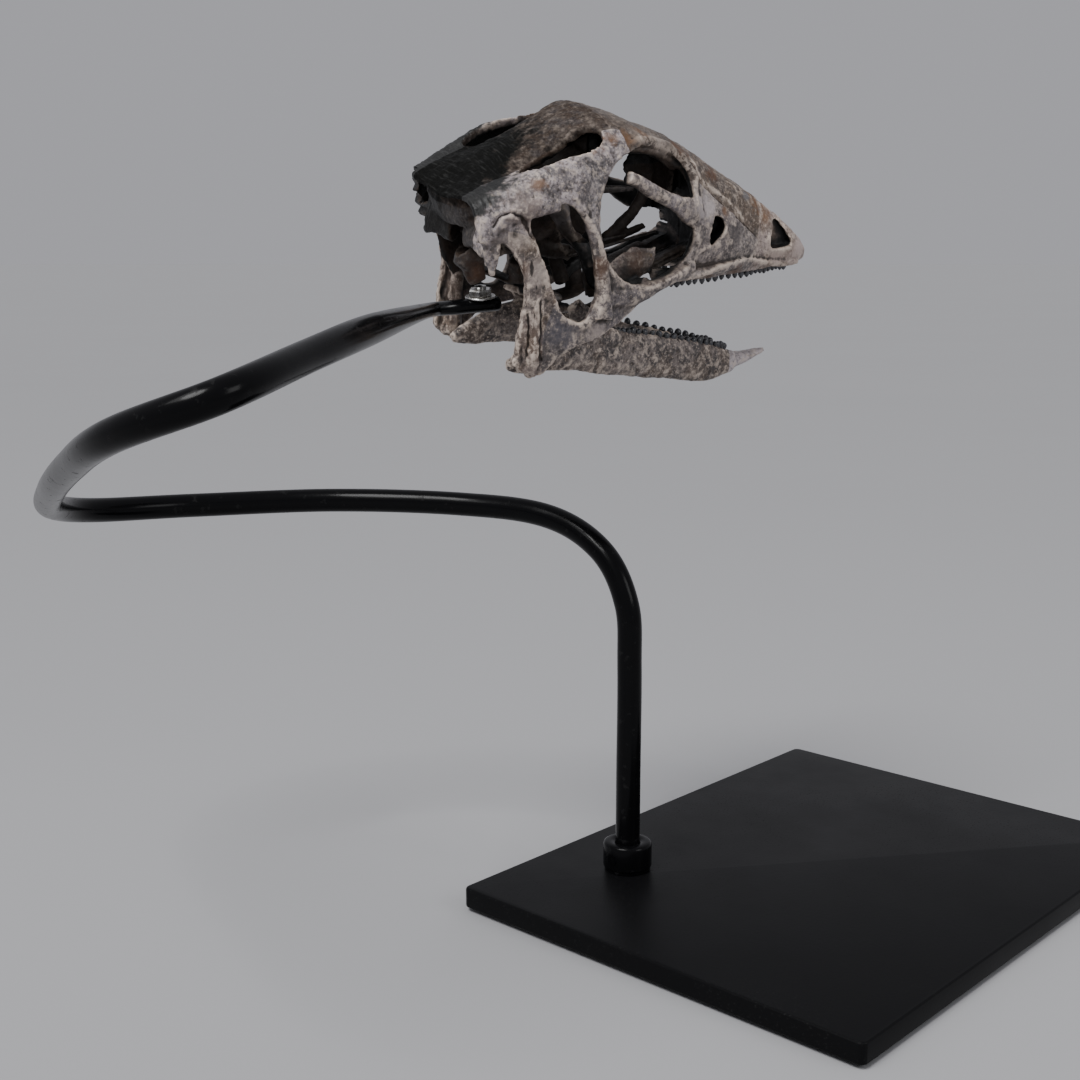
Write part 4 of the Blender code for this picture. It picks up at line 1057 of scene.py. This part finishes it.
# The maxillas are the sides of the snout, with a drop-shaped pit, cast solid but for their nose and
# mouth. The upper teeth stand in them. They are painted grey, and cream along the ridge over the teeth.
MAXILLA_CELL = ((60, 0), (117, 0), (126, 30), (93, 56.5), (80, 56.5), (80, 30), (66, 19))
snout_paint = bone_paint(
    "maxilla_bone", (0.20, 0.17, 0.165), (0.30, 0.26, 0.245), dark=0.45, cream=0.55,
    spots=(
        ((108, -14.5, 43), 3, OCHRE), ((100, -16, 18.5), 4, RUST), ((114, -13, 18.5), 5, RUST),
        ((97, -18, 47), 9, (0.50, 0.44, 0.435)), ((112, -14.6, 34), 6, (0.07, 0.06, 0.06)),
    ),
)
for side, word in SIDES:
    name = f"maxilla_{word}"
    maxilla = part_bone(skull, skull_wear_and_shade, f"{name}_bone", MAXILLA_CELL, SIDE, snout_paint, side)
    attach(maxilla, "root")
    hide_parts(name)

# The nasals are the ridge of the snout, cast in one across it. Their paint is a warm brown, with
# lighter streaks along the ridge and rust beside it.
NASAL_CELL = ((93, 56.5), (126, 30), (134, 60), (120, 95), (89, 95))
ridge_paint = bone_paint(
    "nasal_bone", (0.10, 0.07, 0.052), (0.14, 0.105, 0.08), dark=0.45, cream=0.3,
    spots=(
        ((129, -5.5, 42), 6, OCHRE), ((104, -8, 56), 6, RUST), ((92, -10, 66), 5, RUST),
        ((123, -6, 46), 3, (0.12, 0.12, 0.13)),
    ),
)
nasal = part_bone(skull, skull_wear_and_shade, "nasal_bone", NASAL_CELL, ACROSS, ridge_paint)
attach(nasal, "root")
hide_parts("nasal")

# The frontals roof the eyes, cast in one from rim to rim. They are the smoothest of the bones, painted
# brown, with orange over the rims.
FRONTAL_CELL = ((53, 95), (90, 95), (95, 56), (95, 46), (53, 46))
brow_paint = bone_paint(
    "frontal_bone", (0.06, 0.042, 0.032), (0.10, 0.075, 0.058), dark=0.35, cream=0.14,
    spots=(
        ((60, -22, 75.5), 5, OCHRE), ((68, -17, 75), 5, OCHRE), ((88, -10, 67), 6, RUST),
        ((60, 22, 76), 6, OCHRE), ((76, -15, 70.5), 7, (0.36, 0.30, 0.26)),
        ((64, -20, 73.5), 6, (0.32, 0.25, 0.20)),
    ),
)
frontal = part_bone(skull, skull_wear_and_shade, "frontal_bone", FRONTAL_CELL, ACROSS, brow_paint)
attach(frontal, "root")
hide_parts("frontal")

# What is left of the cast is the parietal roof between the two roof openings. It is brown in front and
# charred behind, with a black as dull as soot.
roof_paint = bone_paint(
    "parietal_bone", (0.045, 0.034, 0.028), (0.075, 0.06, 0.052), dark=0.5, cream=0.1, burnt=1.0, IOR=1.12,
    Coat_Weight=0.03,
    # The black spots are painted shade along the edge of the near roof opening.
    spots=(
        ((27, -15, 69), 4, PAINTED_SHADE_BLACK), ((32, -14, 71), 4, PAINTED_SHADE_BLACK), ((37, -14, 73), 4, PAINTED_SHADE_BLACK),
        ((42, -14, 75), 3.5, PAINTED_SHADE_BLACK),
    ),
)
parietal = finished_bone(skull, skull_wear_and_shade, roof_paint)
parietal.name = "parietal_bone"
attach(parietal, "root")
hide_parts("parietal")

# Thin struts of bone cross the eye openings from the brain case and the palate. They are cast apart,
# stained dark like the palate, partly as painted shade, and glued in by their ends.
STRUTS = (
    ((40, -7, 56, 1.4, 1.6), (52, -8, 55.4, 1.1, 1.5), (63, -8, 54.8, 0.9, 1.3), (70, -8, 54.2, 0.5, 0.8)),
    ((44, -4, 31, 0.6, 0.7), (59, -5, 33, 0.5, 0.6), (70, -5, 34.8, 0.5, 0.6), (82, -5, 36.4, 0.4, 0.5)),
    ((46, -2, 33.5, 0.6, 0.6), (60, -3, 35.2, 0.5, 0.5), (70, -3, 36, 0.3, 0.4)),
)
STRUT_SIDES = 14
strut_parts = gather([limb(points, sides=STRUT_SIDES) for points in STRUTS])
struts = show("eye_struts", strut_parts, dark_paint, SKULL_TO_METRES)
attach(struts, "root")

# The upper teeth are leaf-shaped crowns in one close row on each side, with their roots in the maxilla.
# Their enamel is black and blue-grey, with a dull shine.
UPPER_ROW = (
    (77, 17, 19), (90, 15, 18.3), (106, 12.3, 17.6), (122, 9, 17), (134, 6.3, 16.8), (144, 4.4, 16.7),
)
UPPER_TEETH, TOOTH_SIDES, TOOTH_SEED = 24, 12, 7
UPPER_TOOTH = (2.5, 2.6, 2.0)  # height, width and thickness
# Rings of a crown: how far up it each is, as a part of its height, and how wide and thick it is there
LEAF_CROWN = (
    (-0.5, 0.6, 0.8), (0, 0.72, 0.85), (0.2, 0.96, 1), (0.45, 1, 0.95), (0.7, 0.74, 0.7), (0.92, 0.34, 0.4),
    (1, 0.1, 0.1),
)
ENAMEL, ENAMEL_BLUE = (0.008, 0.008, 0.010), (0.045, 0.048, 0.062)

enamel = Finish("dark_enamel", IOR=1.55, Coat_Weight=0.5, Coat_Roughness=0.2)
wash = enamel.cloud(0.0016, 4)
dark_enamel = enamel.lay(
    colour=enamel.mix(enamel.ramp(wash, 0.45, 0.68), ENAMEL, ENAMEL_BLUE),
    roughness=0.25 + wash * 0.3,
    relief=enamel.cloud(0.0005, 3) * 0.00012,
)


def tooth(crown, size, lean_by, place):
    """A crown on its root, of a height, width and thickness, at its place in the row."""
    height, width, thickness = size
    angles = [2 * math.pi * s / TOOTH_SIDES for s in range(TOOTH_SIDES)]
    rings = []
    for up, wide, thick in crown:
        along, out = wide * width / 2, thick * thickness / 2
        ring = [
            Vector((along * math.cos(a), out * math.sin(a) + lean_by * up, up * height)) for a in angles
        ]
        rings.append([place @ point for point in ring])
    return loft(rings)


def tooth_row(row, count, crown, size, up, side):
    """The teeth of one row, no two quite alike. Up is 1 in the lower jaw and -1 in the upper one."""
    chance = random.Random(TOOTH_SEED)
    line = smooth_line(row, count)
    line[:, 1] *= side
    teeth = []
    for (x, y, z), run in zip(line, np.gradient(line, axis=0)):
        heading = math.atan2(run[1], run[0]) + chance.uniform(-0.25, 0.25)
        place = Matrix.Translation((x, y, z)) @ Matrix.Rotation(heading, 4, "Z")
        place @= Matrix.Diagonal((1, up, up, 1))
        this_size = [length * chance.uniform(0.8, 1.12) for length in size]
        teeth.append(tooth(crown, this_size, chance.uniform(-0.4, 0.4), place))
    return gather(teeth)


for side, word in SIDES:
    bm = tooth_row(UPPER_ROW, UPPER_TEETH, LEAF_CROWN, UPPER_TOOTH, -1, side)
    teeth = show(f"upper_teeth_{word}", bm, dark_enamel, SKULL_TO_METRES)
    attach(teeth, "root")

# The lower jaw is a second cast, in the same resin: two branches that meet in a pointed beak. It hangs
# open beside the quadrates, held by pins that can't be seen.
# Left branch, through points of X, Y, Z, half width, half thickness
JAW_BARS = {
    "jaw_branch": (
        (7, 23.5, -1.5, 2, 2), (12, 24, -1.2, 2.8, 4), (25, 24, 0.8, 3, 7), (38, 22.5, 1, 3, 9),
        (50, 19.5, -3, 3.2, 9), (66, 15, -8, 3.6, 8.6), (82, 11.5, -12.4, 3.4, 8.4), (98, 8.6, -16.8, 3, 8),
        (110, 6, -19.8, 2.6, 7), (121, 3.6, -21, 2.2, 4.4),
    ),
    "coronoid": ((44, 21.5, 5, 1.8, 6), (39, 23, 12, 1.7, 5), (35, 24, 18, 1.4, 3)),
}
BEAK_BAR = (
    (110, 0, -22.5, 6.5, 3.5), (120, 0, -22, 5.5, 3.4), (130, 0, -21, 3.6, 2.2),
    (139.5, 0, -19.6, 0.9, 0.9),
)
JAW_LINES = (
    (((24, 3), (38, 4), (50, 0), (66, -5), (82, -9.4)), 1.6, -0.5, 0),
    (((30, -4), (44, -6), (60, -11.5), (80, -17.5), (100, -22)), 1.2, 0.3, 0.5),
)

forms = [limb(BEAK_BAR)]
for points in JAW_BARS.values():
    forms += both_sides(limb(points))
jaw = fuse("jaw", forms)
jaw_wear_and_shade = WearAndShade(jaw.data, weathered(jaw.data, JAW_LINES, bark=False))

# The angulars and the bones above them make the back half of each branch, half hidden by the cheek. They
# are painted in the blotched brown of the whole jaw.
ANGULAR_CELL = ((-20, -40), (42, -40), (47, -4), (40, 40), (-20, 40))
jaw_paint = bone_paint("jaw_bone", (0.14, 0.11, 0.093), (0.22, 0.185, 0.17), dark=0.75, cream=0.6)
for side, word in SIDES:
    name = f"angular_{word}"
    angular = part_bone(jaw, jaw_wear_and_shade, f"{name}_bone", ANGULAR_CELL, SIDE, jaw_paint, side)
    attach(angular, "root")
    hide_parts(name)

# The dentaries are the long front halves of the branches, cast with the back halves up to a ragged seam.
# They have the same blotched brown paint, and the lower teeth stand in them.
DENTARY_CELL = ((30, -40), (116, -40), (119, 0), (60, 40), (30, 40))
for side, word in SIDES:
    name = f"dentary_{word}"
    dentary = part_bone(jaw, jaw_wear_and_shade, f"{name}_bone", DENTARY_CELL, SIDE, jaw_paint, side)
    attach(dentary, "root")
    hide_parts(name)

# The predentary is the beak at the front of the lower jaw, cast in one across both branches. It is what
# is left of this cast, and it is painted paler than the rest.
beak_paint = bone_paint("beak_bone", (0.46, 0.41, 0.42), (0.55, 0.49, 0.50), dark=0.4, cream=0.4)
predentary = finished_bone(jaw, jaw_wear_and_shade, beak_paint)
predentary.name = "predentary_bone"
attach(predentary, "root")
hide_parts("predentary")

# The lower teeth are of the same dark enamel as the upper ones, but worn round like beads. Their roots
# are set in the dentaries.
LOWER_ROW = (
    (58, 17.3, 2.4), (68, 14.5, 0), (82, 11.5, -4.1), (96, 9, -8.4), (108, 6.6, -12.2), (115, 5, -14.6),
)
LOWER_TEETH, LOWER_TOOTH = 20, (2.5, 2.9, 2.7)
BEAD_CROWN = (
    (-1, 0.6, 0.6), (-0.2, 0.7, 0.7), (0.1, 0.92, 0.92), (0.4, 1, 1), (0.68, 0.84, 0.84),
    (0.88, 0.56, 0.56), (1, 0.2, 0.2),
)
for side, word in SIDES:
    bm = tooth_row(LOWER_ROW, LOWER_TEETH, BEAD_CROWN, LOWER_TOOTH, 1, side)
    teeth = show(f"lower_teeth_{word}", bm, dark_enamel, SKULL_TO_METRES)
    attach(teeth, "root")

# The floor is a plain pale sheet of paper, far larger than the view. The light is soft and comes mostly
# from above on the left, as by a large window, with two softboxes that draw the shine on the rod.
FLOOR_RADIUS, FLOOR_SIDES, FLOOR_SHADE = 40.0, 64, 0.96
FLOOR_PALE, ROOM_PALE, ROOM_STRENGTH = (0.40, 0.40, 0.41), (0.44, 0.44, 0.47), 0.9
DAYLIGHT_FROM, DAYLIGHT_SIZE, DAYLIGHT_STRENGTH = (-0.64, -0.05, 1.0), 26, 2.3
# Each softbox: its place, the point it faces, its size in metres and its strength
SOFTBOXES = (
    ((-0.75, 0.1, 0.95), (-0.12, 0.08, 0.24), 0.5, 3.0),
    ((0.1, -1.1, 0.75), (-0.1, 0.08, 0.24), 0.5, 3.0),
)

floor_finish = Finish("pale_floor", IOR=1.1)
floor_dim = tuple(FLOOR_SHADE * c for c in FLOOR_PALE)
floor_pale = floor_finish.lay(
    colour=floor_finish.mix(floor_finish.cloud(0.8), FLOOR_PALE, floor_dim),
    roughness=0.6 + floor_finish.cloud(0.1) * 0.1,
)
bm = bmesh.new()
bmesh.ops.create_circle(bm, cap_ends=True, segments=FLOOR_SIDES, radius=FLOOR_RADIUS)
floor = show("floor", bm, floor_pale, Matrix())


def hang(name, lamp, place, target):
    """Hangs a light at its place, facing a point."""
    holder = bpy.data.objects.new(name, lamp)
    holder.location = place
    holder.rotation_euler = (Vector(target) - Vector(place)).to_track_quat("-Z", "Y").to_euler()
    bpy.context.scene.collection.objects.link(holder)


daylight = bpy.data.lights.new("daylight", "SUN")
daylight.energy, daylight.angle = DAYLIGHT_STRENGTH, math.radians(DAYLIGHT_SIZE)
hang("daylight", daylight, DAYLIGHT_FROM, (0, 0, 0))
for k, (place, target, size, strength) in enumerate(SOFTBOXES):
    lamp = bpy.data.lights.new(f"softbox_{k}", "AREA")
    lamp.energy, lamp.size = strength, size
    hang(f"softbox_{k}", lamp, place, target)
room = bpy.data.worlds.new("room")
room.use_nodes = True
room.node_tree.nodes["Background"].inputs["Color"].default_value = (*ROOM_PALE, 1)
room.node_tree.nodes["Background"].inputs["Strength"].default_value = ROOM_STRENGTH
bpy.context.scene.world = room

# The camera stands where the photographer stood, a little above the skull's height and close to it. Its
# place and its lens were fitted to the plate's edges, the rod and the skull.
CAMERA_AT = (-0.5243, -0.3231, 0.2600)
CAMERA_TILT, CAMERA_TURN, CAMERA_NEAR = 79.4, -47.31, 0.01
LENS_LENGTH, FILM_WIDTH = 51.03, 36  # in millimetres, as on a small camera
lens = bpy.data.cameras.new("camera")
lens.lens, lens.sensor_width, lens.clip_start = LENS_LENGTH, FILM_WIDTH, CAMERA_NEAR
camera = bpy.data.objects.new("camera", lens)
camera.location = CAMERA_AT
camera.rotation_euler = (math.radians(CAMERA_TILT), 0, math.radians(CAMERA_TURN))
bpy.context.scene.collection.objects.link(camera)
bpy.context.scene.camera = camera
